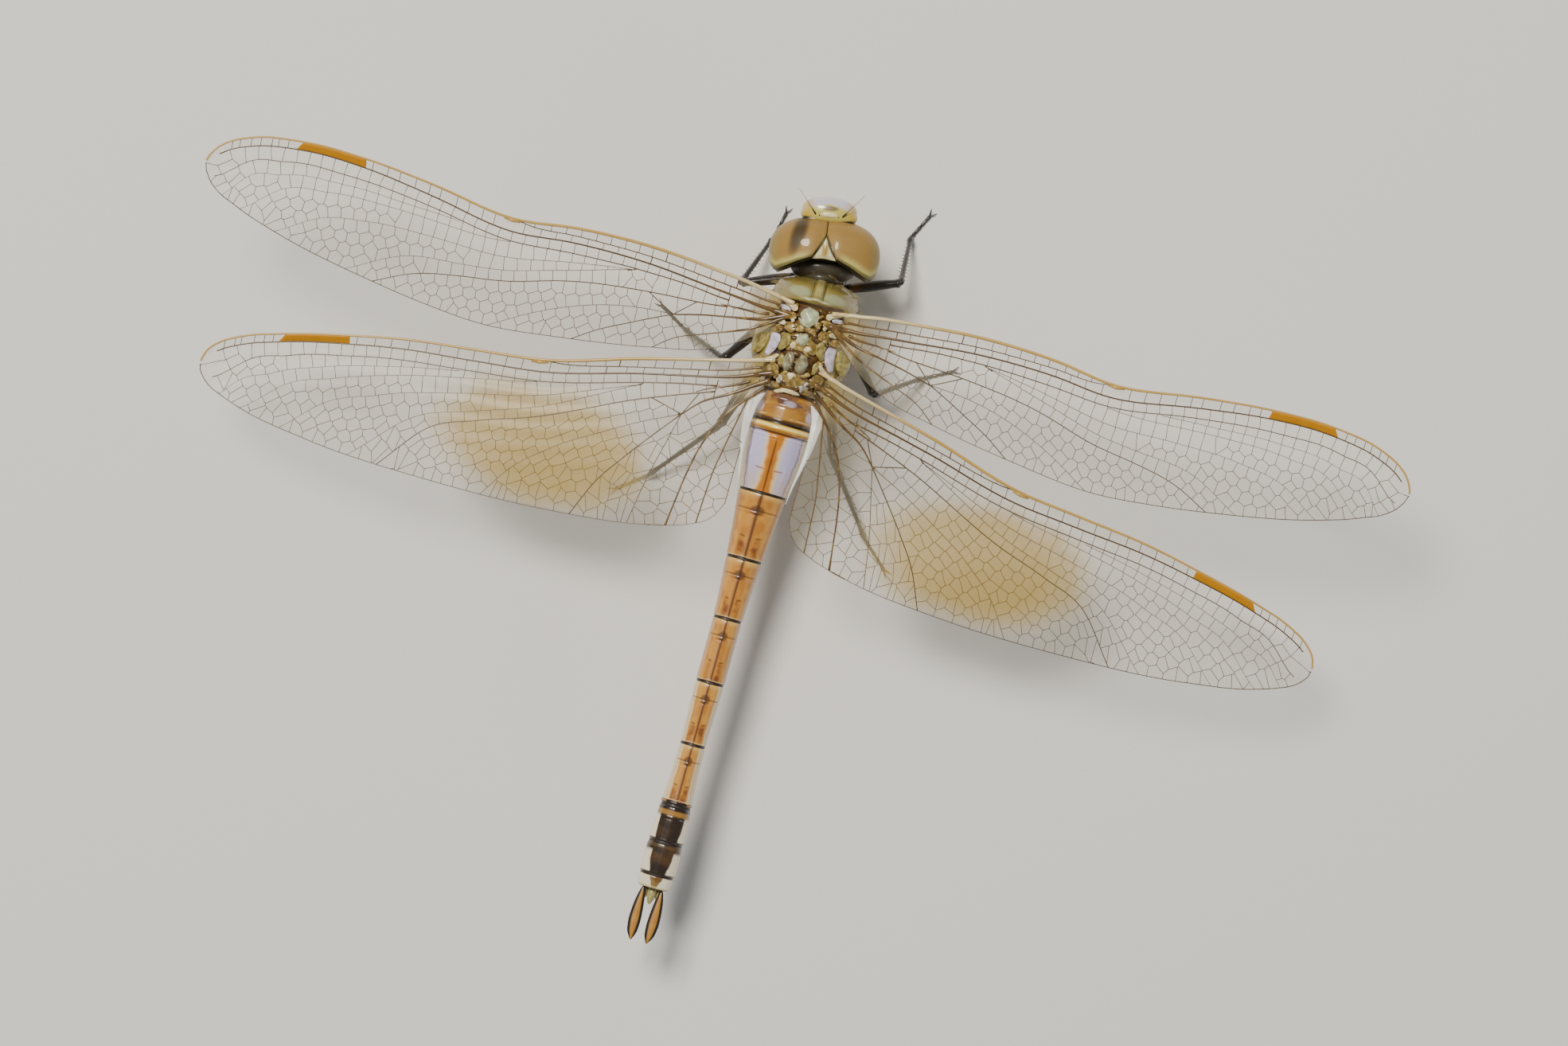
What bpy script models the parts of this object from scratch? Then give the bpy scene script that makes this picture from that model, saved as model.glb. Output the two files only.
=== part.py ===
"""A vagrant emperor dragonfly at life size, standing on its six feet with its wings spread.

Metres. The head looks along +Y, the insect's right side is +X and the floor is Z = 0. Inside the
script every point is measured from BODY_ORIGIN, a point on the floor straight below the middle of
the thorax, with X to the insect's right, Y forward and Z up.
"""

import math

import bmesh
import bpy
import numpy as np

MM = 0.001

# ---- driving dimensions -------------------------------------------------------------------

BODY_ORIGIN = (0.0, 18.88 * MM, 0.0)  # places the whole insect's box centre over the origin
GAP = 0.12 * MM  # the thin cut between neighbouring pieces
SIDES = 20  # corners of a section through the trunk

# head, measured from its own centre
HEAD_CENTRE = (-0.3 * MM, 7.4 * MM, 10.2 * MM)
HEAD_TURN = math.radians(8.5)  # the head looks a little to the insect's left
EYE_HALF = np.array((4.65, 3.1, 3.3)) * MM  # half width, length and height of the two eyes
EYE_POWER = 2.6  # 2 is an ellipsoid, more is boxier
CREASE_DEPTH = 0.09
CREASE_WIDTH = 0.7 * MM
OCCIPUT_SHARE = 0.88  # size of the plate behind the eyes, against the eyes
OCCIPUT_THICK = 0.35 * MM
LABIUM_CENTRE = np.array((0.0, 0.8, -3.1)) * MM
LABIUM_HALF = np.array((1.75, 2.2, 1.05)) * MM
ANTENNA_ROOT = np.array((1.26, 3.4, 2.0)) * MM
ANTENNA_TIP = np.array((3.05, 5.45, 2.75)) * MM

# back edge of one eye in plan, from the tip of the occipital triangle outwards
EYE_BACK = np.array(
    (
        (0.0, 1.35),
        (0.55, 0.45),
        (1.0, -0.42),
        (2.2, -0.8),
        (3.3, -1.4),
        (4.0, -2.0),
    )
) * MM

# face from the side: height, half width, front
FACE = np.array(
    (
        (1.75, 1.55, 3.75),
        (1.35, 2.0, 4.4),
        (0.6, 2.28, 4.8),
        (-0.3, 2.25, 4.75),
        (-0.9, 2.15, 4.35),
        (-1.8, 2.05, 4.15),
        (-2.6, 1.7, 3.75),
        (-3.1, 1.3, 3.3),
    )
) * MM
FACE_BACK = 1.9 * MM
FACE_POWER = 2.3
FACE_PIECES = (("frons", 1.75, -0.42), ("clypeus", -0.42, -1.62), ("labrum", -1.62, -3.1))

# trunk: distance forward, half width, top and bottom
PROTHORAX = np.array(
    (
        (6.15, 1.4, 10.7, 8.0),
        (5.95, 1.85, 11.0, 6.9),
        (5.62, 1.9, 11.1, 6.2),
    )
) * MM
THORAX = np.array(
    (
        (5.5, 2.1, 11.4, 5.9),
        (5.2, 2.9, 12.35, 5.1),
        (4.3, 3.55, 13.3, 4.3),
        (3.0, 3.95, 14.15, 3.7),
        (1.3, 4.2, 14.5, 3.45),
        (-0.6, 4.2, 14.4, 3.7),
        (-2.2, 3.9, 14.15, 4.6),
        (-3.4, 3.4, 13.6, 5.6),
        (-4.25, 2.7, 12.95, 6.6),
    )
) * MM
THORAX_NARROWING = 0.2  # the sides lean in towards the wing bases
ABDOMEN = np.array(
    (
        (-4.37, 2.4, 12.6, 7.0),
        (-5.6, 2.55, 12.65, 6.75),
        (-7.3, 2.68, 12.6, 6.45),
        (-9.5, 2.6, 12.25, 6.5),
        (-12.9, 2.1, 11.4, 7.0),
        (-18.6, 1.56, 10.7, 7.25),
        (-23.8, 1.26, 10.2, 7.3),
        (-29.3, 1.24, 10.0, 7.2),
        (-34.7, 1.12, 9.7, 7.05),
        (-38.0, 1.2, 9.6, 6.9),
        (-40.0, 1.34, 9.6, 6.8),
        (-43.2, 1.5, 9.5, 6.65),
        (-46.0, 1.5, 9.3, 6.65),
        (-47.25, 1.3, 9.0, 6.9),
    )
) * MM
ABDOMEN_JOINTS = np.array(
    (-4.37, -6.95, -12.9, -18.6, -23.8, -29.3, -34.7, -40.0, -43.2, -46.0, -47.25)
) * MM
TRUNK_POWER = 2.15

# appendages at the tail: distance forward, outward and half width
CERCUS = np.array(
    (
        (-47.4, 0.88, 0.24),
        (-48.2, 0.92, 0.3),
        (-49.4, 0.95, 0.42),
        (-50.5, 0.9, 0.43),
        (-51.4, 0.78, 0.28),
        (-51.85, 0.68, 0.12),
    )
) * MM
CERCUS_HEIGHT = 8.25 * MM
CERCUS_THICK = 0.5 * MM
OVIPOSITOR = np.array(
    (
        (-41.2, 0.3, 6.45, 6.1),
        (-42.6, 0.42, 6.45, 5.8),
        (-44.6, 0.4, 6.45, 5.65),
        (-46.4, 0.28, 6.5, 5.95),
    )
) * MM

# wings in plan, outward and forward, from the front of the root round the tip to the back of it
WING_THICK = 0.5 * MM
WING_POINTS = 72
FOREWING = np.array(
    (
        (2.75, 3.0),
        (5.2, 3.5),
        (8.5, 3.85),
        (14.1, 4.25),
        (20.5, 4.05),
        (25.6, 3.4),
        (32.8, 4.3),
        (38.6, 4.85),
        (44.2, 4.8),
        (48.4, 3.95),
        (50.7, 2.5),
        (51.3, 0.9),
        (50.4, -0.5),
        (48.0, -1.75),
        (44.5, -2.9),
        (36.2, -4.6),
        (31.1, -5.3),
        (26.3, -5.65),
        (19.3, -4.95),
        (11.6, -3.65),
        (8.0, -2.8),
        (5.0, -1.2),
        (2.75, 0.8),
    )
) * MM
HINDWING = np.array(
    (
        (2.75, -2.3),
        (5.0, -2.9),
        (8.2, -3.7),
        (12.5, -4.8),
        (20.5, -7.1),
        (25.8, -7.75),
        (32.0, -8.5),
        (36.5, -9.4),
        (42.0, -10.75),
        (45.8, -12.1),
        (47.7, -13.5),
        (48.2, -14.9),
        (47.4, -16.2),
        (44.8, -17.4),
        (38.0, -18.7),
        (27.3, -19.25),
        (17.0, -19.0),
        (8.5, -17.95),
        (5.2, -17.0),
        (3.7, -16.2),
        (2.85, -14.9),
        (2.45, -12.8),
        (2.5, -9.5),
        (2.85, -6.3),
    )
) * MM
# name, outline, height of the root, rise of the tip in degrees
WINGS = (
    ("forewing", FOREWING, 13.35 * MM, 3.0),
    ("hindwing", HINDWING, 12.85 * MM, -4.0),
)
WING_ROOT = 2.75 * MM

# legs: femur, tibia and tarsus lengths, shared by both sides
LEG_LENGTHS = {
    "front": np.array((5.0, 6.2, 3.1)) * MM,
    "mid": np.array((7.6, 6.4, 3.4)) * MM,
    "hind": np.array((9.4, 8.4, 3.8)) * MM,
}
LEG_RADII = {"front": 0.4 * MM, "mid": 0.42 * MM, "hind": 0.45 * MM}
TIBIA_RADIUS = 0.27 * MM
TARSUS_HALF_WIDTH = 0.28 * MM
TARSUS_HEIGHT = 0.55 * MM
# share of the tarsus's length, and of its full width and height there
TARSUS_TAPER = (
    (0.0, 0.8, 0.85),
    (0.12, 1.0, 1.0),
    (0.5, 0.85, 0.95),
    (0.8, 0.9, 0.95),
    (1.0, 0.45, 0.6),
)
# shares of the femur's thickness from the hip to the knee
FEMUR_TAPER = np.array((1.55, 1.45, 1.1, 1.15, 1.15, 1.1, 1.0, 0.9, 0.85))
TIBIA_TAPER = np.array((1.1, 1.0, 0.95, 1.0))
ANTENNA_RADII = np.array((0.34, 0.27, 0.25, 0.25)) * MM
HIPS = {"front": (1.2, 5.75, 5.75), "mid": (1.55, 3.35, 3.3), "hind": (1.6, 0.75, 3.1)}
TROCHANTERS = {"front": (1.9, 5.6, 4.3), "mid": (2.2, 3.1, 3.0), "hind": (2.3, 0.4, 2.8)}
ANKLE_HEIGHT = 0.82
# leg, side, ankle in plan, way the knee leans, heading of the foot in degrees from +X
STANCE = (
    ("front", "left", (-5.0, 8.3), (-0.25, -0.8, 0.7), 78.0),
    ("front", "right", (6.3, 11.5), (0.85, -0.25, 0.8), 64.0),
    ("mid", "left", (-10.2, -1.1), (0.05, -0.75, 0.75), 150.0),
    ("mid", "right", (10.4, 0.2), (-0.05, -0.75, 0.75), 28.0),
    ("hind", "left", (-9.8, -13.9), (0.35, -0.2, 0.8), 218.0),
    ("hind", "right", (9.4, -14.3), (-0.35, -0.2, 0.8), 318.0),
)

SIGNS = (("left", -1), ("right", 1))

# name: base colour, roughness
FINISHES = {
    "eye_bronze": ((0.30, 0.17, 0.055), 0.18),
    "face_yellow": ((0.62, 0.56, 0.22), 0.4),
    "occiput_cream": ((0.55, 0.48, 0.25), 0.45),
    "thorax_olive": ((0.24, 0.18, 0.07), 0.42),
    "abdomen_ochre": ((0.52, 0.25, 0.05), 0.36),
    "abdomen_saddle": ((0.50, 0.46, 0.55), 0.36),
    "abdomen_tail": ((0.12, 0.07, 0.04), 0.36),
    "cercus_brown": ((0.25, 0.10, 0.03), 0.4),
    "leg_black": ((0.02, 0.017, 0.015), 0.35),
    "wing_clear": ((0.62, 0.58, 0.42), 0.25),
}

# ---- small tools --------------------------------------------------------------------------


def collection(name):
    made = bpy.data.collections.new(name)
    bpy.context.scene.collection.children.link(made)
    return made


def finish(name):
    """The Principled material called name, made once."""
    found = bpy.data.materials.get(name)
    if found:
        return found
    colour, roughness = FINISHES[name]
    made = bpy.data.materials.new(name)
    made.use_nodes = True
    shader = made.node_tree.nodes["Principled BSDF"]
    shader.inputs["Base Color"].default_value = (*colour, 1.0)
    shader.inputs["Roughness"].default_value = roughness
    shader.inputs["Metallic"].default_value = 0.0
    return made


def empty(name, location, parent=None, turn=0.0):
    made = bpy.data.objects.new(name, None)
    made.location = location
    made.rotation_euler = (0.0, 0.0, turn)
    made.parent = parent
    bpy.context.scene.collection.objects.link(made)
    return made


def smooth(stations, at):
    """Read a smooth curve through stations at the places in at.

    The first column is the place along the curve and the others are the values. Between two
    stations the value is a cubic whose slope at each is the mean slope there.
    """
    order = np.argsort(stations[:, 0])
    place, values = stations[order, 0], stations[order, 1:]
    slopes = np.gradient(values, place, axis=0)
    at = np.clip(np.atleast_1d(at), place[0], place[-1])
    left = np.clip(np.searchsorted(place, at, side="right") - 1, 0, len(place) - 2)
    step = (place[left + 1] - place[left])[:, None]
    t = (at - place[left])[:, None] / step
    return (
        values[left] * (1 + 2 * t) * (1 - t) ** 2
        + slopes[left] * step * t * (1 - t) ** 2
        + values[left + 1] * t**2 * (3 - 2 * t)
        + slopes[left + 1] * step * t**2 * (t - 1)
    )


def along(points, count):
    """count points, evenly spread, on a smooth curve through points."""
    length = np.concatenate(([0.0], np.cumsum(np.linalg.norm(np.diff(points, axis=0), axis=1))))
    return smooth(np.column_stack((length, points)), np.linspace(0.0, length[-1], count))


def power_of(value, power):
    """value to the given power, with its sign kept."""
    return np.sign(value) * np.abs(value) ** power


def section(half_width, top, bottom, power=TRUNK_POWER, narrowing=0.0, sides=SIDES):
    """Corners of an upright rounded section, as columns x and z.

    It is a superellipse, |x / w|^p + |z / h|^p = 1, whose upper half is drawn in by narrowing.
    """
    angle = (np.arange(sides) + 0.5) * 2 * math.pi / sides
    x = power_of(np.cos(angle), 2 / power)
    z = power_of(np.sin(angle), 2 / power)
    x = x * (1 - narrowing * np.clip(z, 0, None) ** 1.5)
    return np.column_stack((half_width * x, (top + bottom) / 2 + (top - bottom) / 2 * z))


# ---- makers of meshes ---------------------------------------------------------------------


class Bench:
    """The two collections, and the calls that put a named piece or a cutter into them."""

    def __init__(self):
        self.parts = collection("dragonfly")
        self.cutters = collection("cutters")

    def put(self, made, name, material, parent, cutter=False):
        made.name = name
        for home in list(made.users_collection):
            home.objects.unlink(made)
        (self.cutters if cutter else self.parts).objects.link(made)
        made.parent = parent
        if cutter:
            made.hide_render = True
            made.display_type = "WIRE"
            return made
        made.data.materials.clear()
        made.data.materials.append(finish(material))
        if made.type == "MESH":
            made.data.shade_smooth()
            made.data.set_sharp_from_angle(angle=math.radians(40))
        return made

    def loft(self, name, rings, material, parent, cutter=False):
        """One closed skin over rings, an array of rings x corners x 3, capped at both ends."""
        count, sides = rings.shape[:2]
        index = np.arange(count * sides).reshape(count, sides)
        turned = np.roll(index, -1, axis=1)
        quads = np.stack((index[:-1], turned[:-1], turned[1:], index[1:]), axis=-1)
        faces = [*quads.reshape(-1, 4).tolist(), index[0].tolist(), index[-1][::-1].tolist()]
        mesh = bpy.data.meshes.new(name)
        mesh.from_pydata(rings.reshape(-1, 3).tolist(), [], faces)
        face_out(mesh)
        made = bpy.data.objects.new(name, mesh)
        return self.put(made, name, material, parent, cutter)

    def trunk(self, name, stations, ends, material, parent, rings=6, narrowing=0.0):
        """A length of the trunk between two places along the body."""
        places = np.linspace(ends[0], ends[1], rings)
        sections = [
            np.insert(section(*row, narrowing=narrowing), 1, place, axis=1)
            for place, row in zip(places, smooth(stations, places))
        ]
        return self.loft(name, np.array(sections), material, parent)

    def ball(self, name, centre, half, power, material, parent, cutter=False, crease=0.0):
        """A superellipsoid from a sphere primitive, with an optional crease over its middle."""
        bpy.ops.mesh.primitive_uv_sphere_add(segments=32, ring_count=18, radius=1.0)
        made = bpy.context.object
        points = np.empty(len(made.data.vertices) * 3)
        made.data.vertices.foreach_get("co", points)
        points = power_of(points.reshape(-1, 3), 2 / power) * half
        points[:, 1:] *= 1 - crease * np.exp(-((points[:, :1] / CREASE_WIDTH) ** 2))
        made.data.vertices.foreach_set("co", (points + centre).ravel())
        made.data.update()
        return self.put(made, name, material, parent, cutter)

    def prism(self, name, outline, bottom, top, parent):
        """A cutter with an upright wall round outline, an array of x and y."""
        rings = [np.column_stack((outline, np.full(len(outline), z))) for z in (bottom, top)]
        return self.loft(name, np.array(rings), None, parent, cutter=True)

    def limb(self, name, points, radii, material, parent):
        """A tapered round bar along points, as a curve with filled ends."""
        curve = bpy.data.curves.new(name, "CURVE")
        curve.dimensions = "3D"
        curve.bevel_depth = 1.0
        curve.bevel_resolution = 2
        curve.use_fill_caps = True
        spline = curve.splines.new("POLY")
        spline.points.add(len(points) - 1)
        spline.points.foreach_set("co", np.column_stack((points, np.ones(len(points)))).ravel())
        spline.points.foreach_set("radius", np.asarray(radii, dtype=float))
        return self.put(bpy.data.objects.new(name, curve), name, material, parent)


def face_out(mesh):
    """Turn every face of a closed mesh outwards."""
    work = bmesh.new()
    work.from_mesh(mesh)
    bmesh.ops.recalc_face_normals(work, faces=work.faces)
    work.to_mesh(mesh)
    work.free()


def cut(piece, *cutters, operation="DIFFERENCE"):
    for cutter in cutters:
        boolean = piece.modifiers.new(cutter.name, "BOOLEAN")
        boolean.operation = operation
        boolean.solver = "EXACT"
        boolean.object = cutter


# ---- head ---------------------------------------------------------------------------------


def face_rings(top, bottom, grow=0.0, count=5):
    """Rings of the face between two heights: half superellipses that bulge forwards."""
    heights = np.linspace(top, bottom, count)
    angle = np.linspace(0.0, math.pi, 15)
    across, ahead = power_of(np.cos(angle), 2 / FACE_POWER), np.sin(angle) ** (2 / FACE_POWER)
    rings = []
    for height, (half_width, front) in zip(heights, smooth(FACE, heights)):
        x = (half_width + grow) * across
        y = FACE_BACK - grow + (front - FACE_BACK + 2 * grow) * ahead
        rings.append(np.column_stack((x, y, np.full(len(x), height))))
    return np.array(rings)


def eye_back_outline(shift, reach):
    """Plan outline of all that lies behind the eyes' back edge, moved back by shift."""
    right = EYE_BACK - (0.0, shift)
    left = right[:0:-1] * (-1, 1)
    far = EYE_BACK[-1, 0] + reach
    return np.vstack((left, right, ((far, -2 * reach), (-far, -2 * reach))))


def make_head(bench, head):
    tall = 2 * EYE_HALF[2]
    nothing = np.zeros(3)
    behind = bench.prism("cut_behind_eyes", eye_back_outline(0.0, tall), -tall, tall, head)
    face_room = face_rings(FACE[0, 0], FACE[-1, 0], grow=GAP, count=9)
    face_room[0, :, 2] += GAP
    face_room[-1, :, 2] -= GAP
    face = bench.loft("cut_face", face_room, None, head, cutter=True)
    labium_room = bench.ball(
        "cut_labium", LABIUM_CENTRE, LABIUM_HALF + GAP, 2.3, None, head, cutter=True
    )
    for side, sign in SIGNS:
        edge = np.array((-GAP / 2, tall, tall, -GAP / 2)) * -sign
        half = np.column_stack((edge, (tall, tall, -tall, -tall)))
        other = bench.prism(f"cut_beside_eye_{side}", half, -tall, tall, head)
        eye = bench.ball(
            f"eye_{side}", nothing, EYE_HALF, EYE_POWER, "eye_bronze", head, crease=CREASE_DEPTH
        )
        cut(eye, other, behind, face, labium_room)

    occiput = bench.ball(
        "head",
        nothing,
        EYE_HALF * OCCIPUT_SHARE,
        EYE_POWER,
        "occiput_cream",
        head,
        crease=CREASE_DEPTH,
    )
    keep = bench.prism("keep_behind_eyes", eye_back_outline(GAP, tall), -tall, tall, head)
    back = eye_back_outline(OCCIPUT_THICK + GAP, tall)
    middle = np.abs(back[:, 0]) < EYE_BACK[2, 0]  # the triangle is solid right through
    back[middle, 1] = EYE_BACK[2, 1] - OCCIPUT_THICK
    hollow = bench.prism("cut_behind_head", back, -1.1 * tall, 1.1 * tall, head)
    cut(occiput, keep, operation="INTERSECT")
    cut(occiput, hollow, labium_room)

    for name, top, bottom in FACE_PIECES:
        ends = (top * MM - GAP / 2, bottom * MM + GAP / 2)
        bench.loft(name, face_rings(*ends), "face_yellow", head)
    labium = bench.ball("labium", LABIUM_CENTRE, LABIUM_HALF, 2.3, "face_yellow", head)
    cut(labium, face)
    for side, sign in SIGNS:
        points = np.linspace(ANTENNA_ROOT, ANTENNA_TIP, len(ANTENNA_RADII)) * (sign, 1, 1)
        bench.limb(f"antenna_{side}", points, ANTENNA_RADII, "leg_black", head)


# ---- trunk --------------------------------------------------------------------------------


def make_trunk(bench, body):
    ends = PROTHORAX[[0, -1], 0]
    bench.trunk("prothorax", PROTHORAX, ends, "thorax_olive", body, rings=4)
    ends = THORAX[[0, -1], 0]
    bench.trunk("thorax", THORAX, ends, "thorax_olive", body, rings=17, narrowing=THORAX_NARROWING)
    for number in range(1, len(ABDOMEN_JOINTS)):
        front, back = ABDOMEN_JOINTS[number - 1], ABDOMEN_JOINTS[number]
        material = "abdomen_ochre"
        if number <= 2:
            material = "abdomen_saddle"
        if number >= 8:
            material = "abdomen_tail"
        rings = max(3, round((front - back) / MM))
        ends = (front - GAP / 2, back + GAP / 2)
        bench.trunk(f"abdomen_{number:02d}", ABDOMEN, ends, material, body, rings=rings)


def make_tail(bench, body):
    """The two leaf-shaped cerci, and the egg blade below the last segments."""
    top, bottom = CERCUS_HEIGHT + CERCUS_THICK / 2, CERCUS_HEIGHT - CERCUS_THICK / 2
    places = np.linspace(CERCUS[0, 0], CERCUS[-1, 0], 10)
    for side, sign in SIGNS:
        rings = []
        for place, (out, half_width) in zip(places, smooth(CERCUS, places)):
            ring = section(half_width, top, bottom, sides=10) + (sign * out, 0.0)
            rings.append(np.insert(ring, 1, place, axis=1))
        bench.loft(f"cercus_{side}", np.array(rings), "cercus_brown", body)
    ends = OVIPOSITOR[[0, -1], 0]
    bench.trunk("ovipositor", OVIPOSITOR, ends, "abdomen_tail", body, rings=6)


# ---- wings --------------------------------------------------------------------------------


def make_wings(bench, body):
    """Four flat plates: a filled plan outline, extruded, hinged up or down at the root."""
    for kind, outline, height, rise in WINGS:
        edge = along(outline, WING_POINTS)
        for side, sign in SIGNS:
            name = f"{kind}_{side}"
            curve = bpy.data.curves.new(name, "CURVE")
            curve.dimensions = "2D"
            curve.fill_mode = "BOTH"
            curve.extrude = WING_THICK / 2
            spline = curve.splines.new("POLY")
            spline.points.add(len(edge) - 1)
            x = sign * (edge[:, 0] - WING_ROOT)
            zero, one = np.zeros(len(edge)), np.ones(len(edge))
            spline.points.foreach_set("co", np.column_stack((x, edge[:, 1], zero, one)).ravel())
            spline.use_cyclic_u = True
            wing = bench.put(bpy.data.objects.new(name, curve), name, "wing_clear", body)
            wing.location = (sign * WING_ROOT, 0.0, height)
            wing.rotation_euler = (0.0, -sign * math.radians(rise), 0.0)


# ---- legs ---------------------------------------------------------------------------------


def knee_point(hip, ankle, femur, tibia, lean):
    """Where two straight lengths from hip and ankle meet, on the side that lean points to."""
    reach = ankle - hip
    distance = np.linalg.norm(reach)
    ahead = reach / distance
    share = (femur**2 - tibia**2 + distance**2) / (2 * distance)
    side = lean - ahead * (lean @ ahead)
    side /= np.linalg.norm(side)
    return hip + ahead * share + side * math.sqrt(femur**2 - share**2)


def foot_rings(heel, heading, length):
    """Rings of a tarsus flat on the floor: a low bar from below the ankle to its claws."""
    ahead = np.array((math.cos(heading), math.sin(heading), 0.0))
    aside = np.array((-ahead[1], ahead[0], 0.0))
    heel = heel - ahead * TIBIA_RADIUS
    corners = np.array(((-1, 0), (-1, 0.55), (-0.5, 1), (0.5, 1), (1, 0.55), (1, 0)))
    rings = []
    for share, wide, high in TARSUS_TAPER:
        across = aside * (corners[:, :1] * TARSUS_HALF_WIDTH * wide)
        up = np.array((0.0, 0.0, 1.0)) * (corners[:, 1:] * TARSUS_HEIGHT * high)
        rings.append(heel + ahead * length * share + across + up)
    return np.array(rings)


def make_legs(bench, body):
    for kind, side, ankle, lean, heading in STANCE:
        sign = dict(SIGNS)[side]
        hip = np.array(HIPS[kind]) * MM * (sign, 1, 1)
        trochanter = np.array(TROCHANTERS[kind]) * MM * (sign, 1, 1)
        ankle = np.array((*ankle, ANKLE_HEIGHT)) * MM
        femur, tibia, tarsus = LEG_LENGTHS[kind]
        knee = knee_point(trochanter, ankle, femur, tibia, np.array(lean))
        down = (ankle - knee) / np.linalg.norm(ankle - knee)
        back = (trochanter - knee) / np.linalg.norm(trochanter - knee)
        thick = LEG_RADII[kind]
        name = f"leg_{kind}_{side}"
        route = (hip, trochanter, (trochanter + knee) / 2, knee + back * thick / 2)
        upper = along(np.array(route), len(FEMUR_TAPER))
        bench.limb(f"{name}_femur", upper, thick * FEMUR_TAPER, "leg_black", body)
        lower = np.linspace(knee + down * (thick + GAP), ankle, len(TIBIA_TAPER))
        bench.limb(f"{name}_tibia", lower, TIBIA_RADIUS * TIBIA_TAPER, "leg_black", body)
        foot = foot_rings(ankle * (1, 1, 0), math.radians(heading), tarsus)
        bench.loft(f"{name}_tarsus", foot, "leg_black", body)


def main():
    for old in list(bpy.data.objects):
        bpy.data.objects.remove(old)
    bench = Bench()
    body = empty("body_origin", BODY_ORIGIN)
    head = empty("head_pose", HEAD_CENTRE, body, HEAD_TURN)
    make_head(bench, head)
    make_trunk(bench, body)
    make_tail(bench, body)
    make_wings(bench, body)
    make_legs(bench, body)


main()
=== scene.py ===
"""The looks of a life-size dragonfly, a vagrant emperor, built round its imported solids.

Every shape is written in millimetres from the body's own origin: a point on the floor below the
middle of the thorax, X to the insect's right, Y towards its head, Z up. place() turns such points
into the frame's metres.
"""

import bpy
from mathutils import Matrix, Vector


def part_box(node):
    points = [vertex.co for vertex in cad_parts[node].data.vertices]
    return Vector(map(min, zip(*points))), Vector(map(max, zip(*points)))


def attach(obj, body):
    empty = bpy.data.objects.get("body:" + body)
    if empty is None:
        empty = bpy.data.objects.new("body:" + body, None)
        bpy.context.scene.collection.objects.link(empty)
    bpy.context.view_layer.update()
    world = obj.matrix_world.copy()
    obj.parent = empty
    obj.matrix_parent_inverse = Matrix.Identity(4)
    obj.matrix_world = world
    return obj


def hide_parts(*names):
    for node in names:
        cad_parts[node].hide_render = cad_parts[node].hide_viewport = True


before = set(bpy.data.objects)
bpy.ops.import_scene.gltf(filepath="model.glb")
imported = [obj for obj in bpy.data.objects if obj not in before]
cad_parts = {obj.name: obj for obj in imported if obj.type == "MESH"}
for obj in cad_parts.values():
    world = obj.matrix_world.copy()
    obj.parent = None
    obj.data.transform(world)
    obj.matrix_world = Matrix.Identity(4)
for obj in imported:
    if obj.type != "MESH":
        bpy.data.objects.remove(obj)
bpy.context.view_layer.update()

import math

import bpy
import numpy as np
from bpy.props import FloatProperty, FloatVectorProperty, IntProperty, PointerProperty
from bpy.types import Operator, Panel, PropertyGroup
from mathutils import Vector
from mathutils.geometry import delaunay_2d_cdt

bl_info = {
    "name": "Dragonfly",
    "version": (1, 0, 0),
    "blender": (4, 5, 0),
    "location": "View3D > Sidebar > Dragonfly",
    "description": "Builds the shell plates, eyes, wings and legs of a dragonfly",
    "category": "Add Mesh",
}

MM = 0.001
UP = np.array((0.0, 0.0, 1.0))
SIDES = (("left", -1), ("right", 1))
THORAX_FRONT = 5.5  # from the body's origin to the front end of the thorax
ORIGIN = np.array((0.0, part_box("thorax")[1].y / MM - THORAX_FRONT, 0.0))
HEAD_CENTRE = np.array((-0.3, 7.4, 10.2))
HEAD_TURN = math.radians(8.5)  # the head looks a little to the insect's left


# ---- numbers and curves -------------------------------------------------------------------


DEEPEN = 1.06  # power that makes up for the way the renderer's film curve pales colours


def shade(red, green, blue):
    """A colour as it looks on a screen, 0 to 255, as the linear values that shaders use."""
    look = np.array((red, green, blue)) / 255
    linear = np.where(look <= 0.04045, look / 12.92, ((look + 0.055) / 1.055) ** 2.4)
    return tuple(float(value) for value in linear**DEEPEN)


def power_of(value, power):
    """value to the given power, with its sign kept."""
    return np.sign(value) * np.abs(value) ** power


def ease(low, high, value):
    """0 below low, 1 above high, and 3t^2 - 2t^3 between them."""
    t = np.clip((value - low) / (high - low), 0.0, 1.0)
    return t * t * (3 - 2 * t)


def hump(value, centre, width):
    """A bell curve of height 1: e to the minus square of the distance in widths."""
    return np.exp(-(((value - centre) / width) ** 2))


def shares(count, low=0.0, high=1.0):
    """count numbers from low to high, as a column."""
    return np.linspace(low, high, count)[:, None]


def bearings(count):
    """count angles evenly round a circle, as a row."""
    return np.arange(count)[None, :] * 2 * math.pi / count


def sheet(x, y, z):
    """Rows x columns of points from three arrays that together span the rows and columns."""
    return np.stack(np.broadcast_arrays(x, y, z), axis=-1)


def unit(vectors):
    """vectors, along the last axis, at length 1."""
    return vectors / np.linalg.norm(vectors, axis=-1, keepdims=True)


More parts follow.
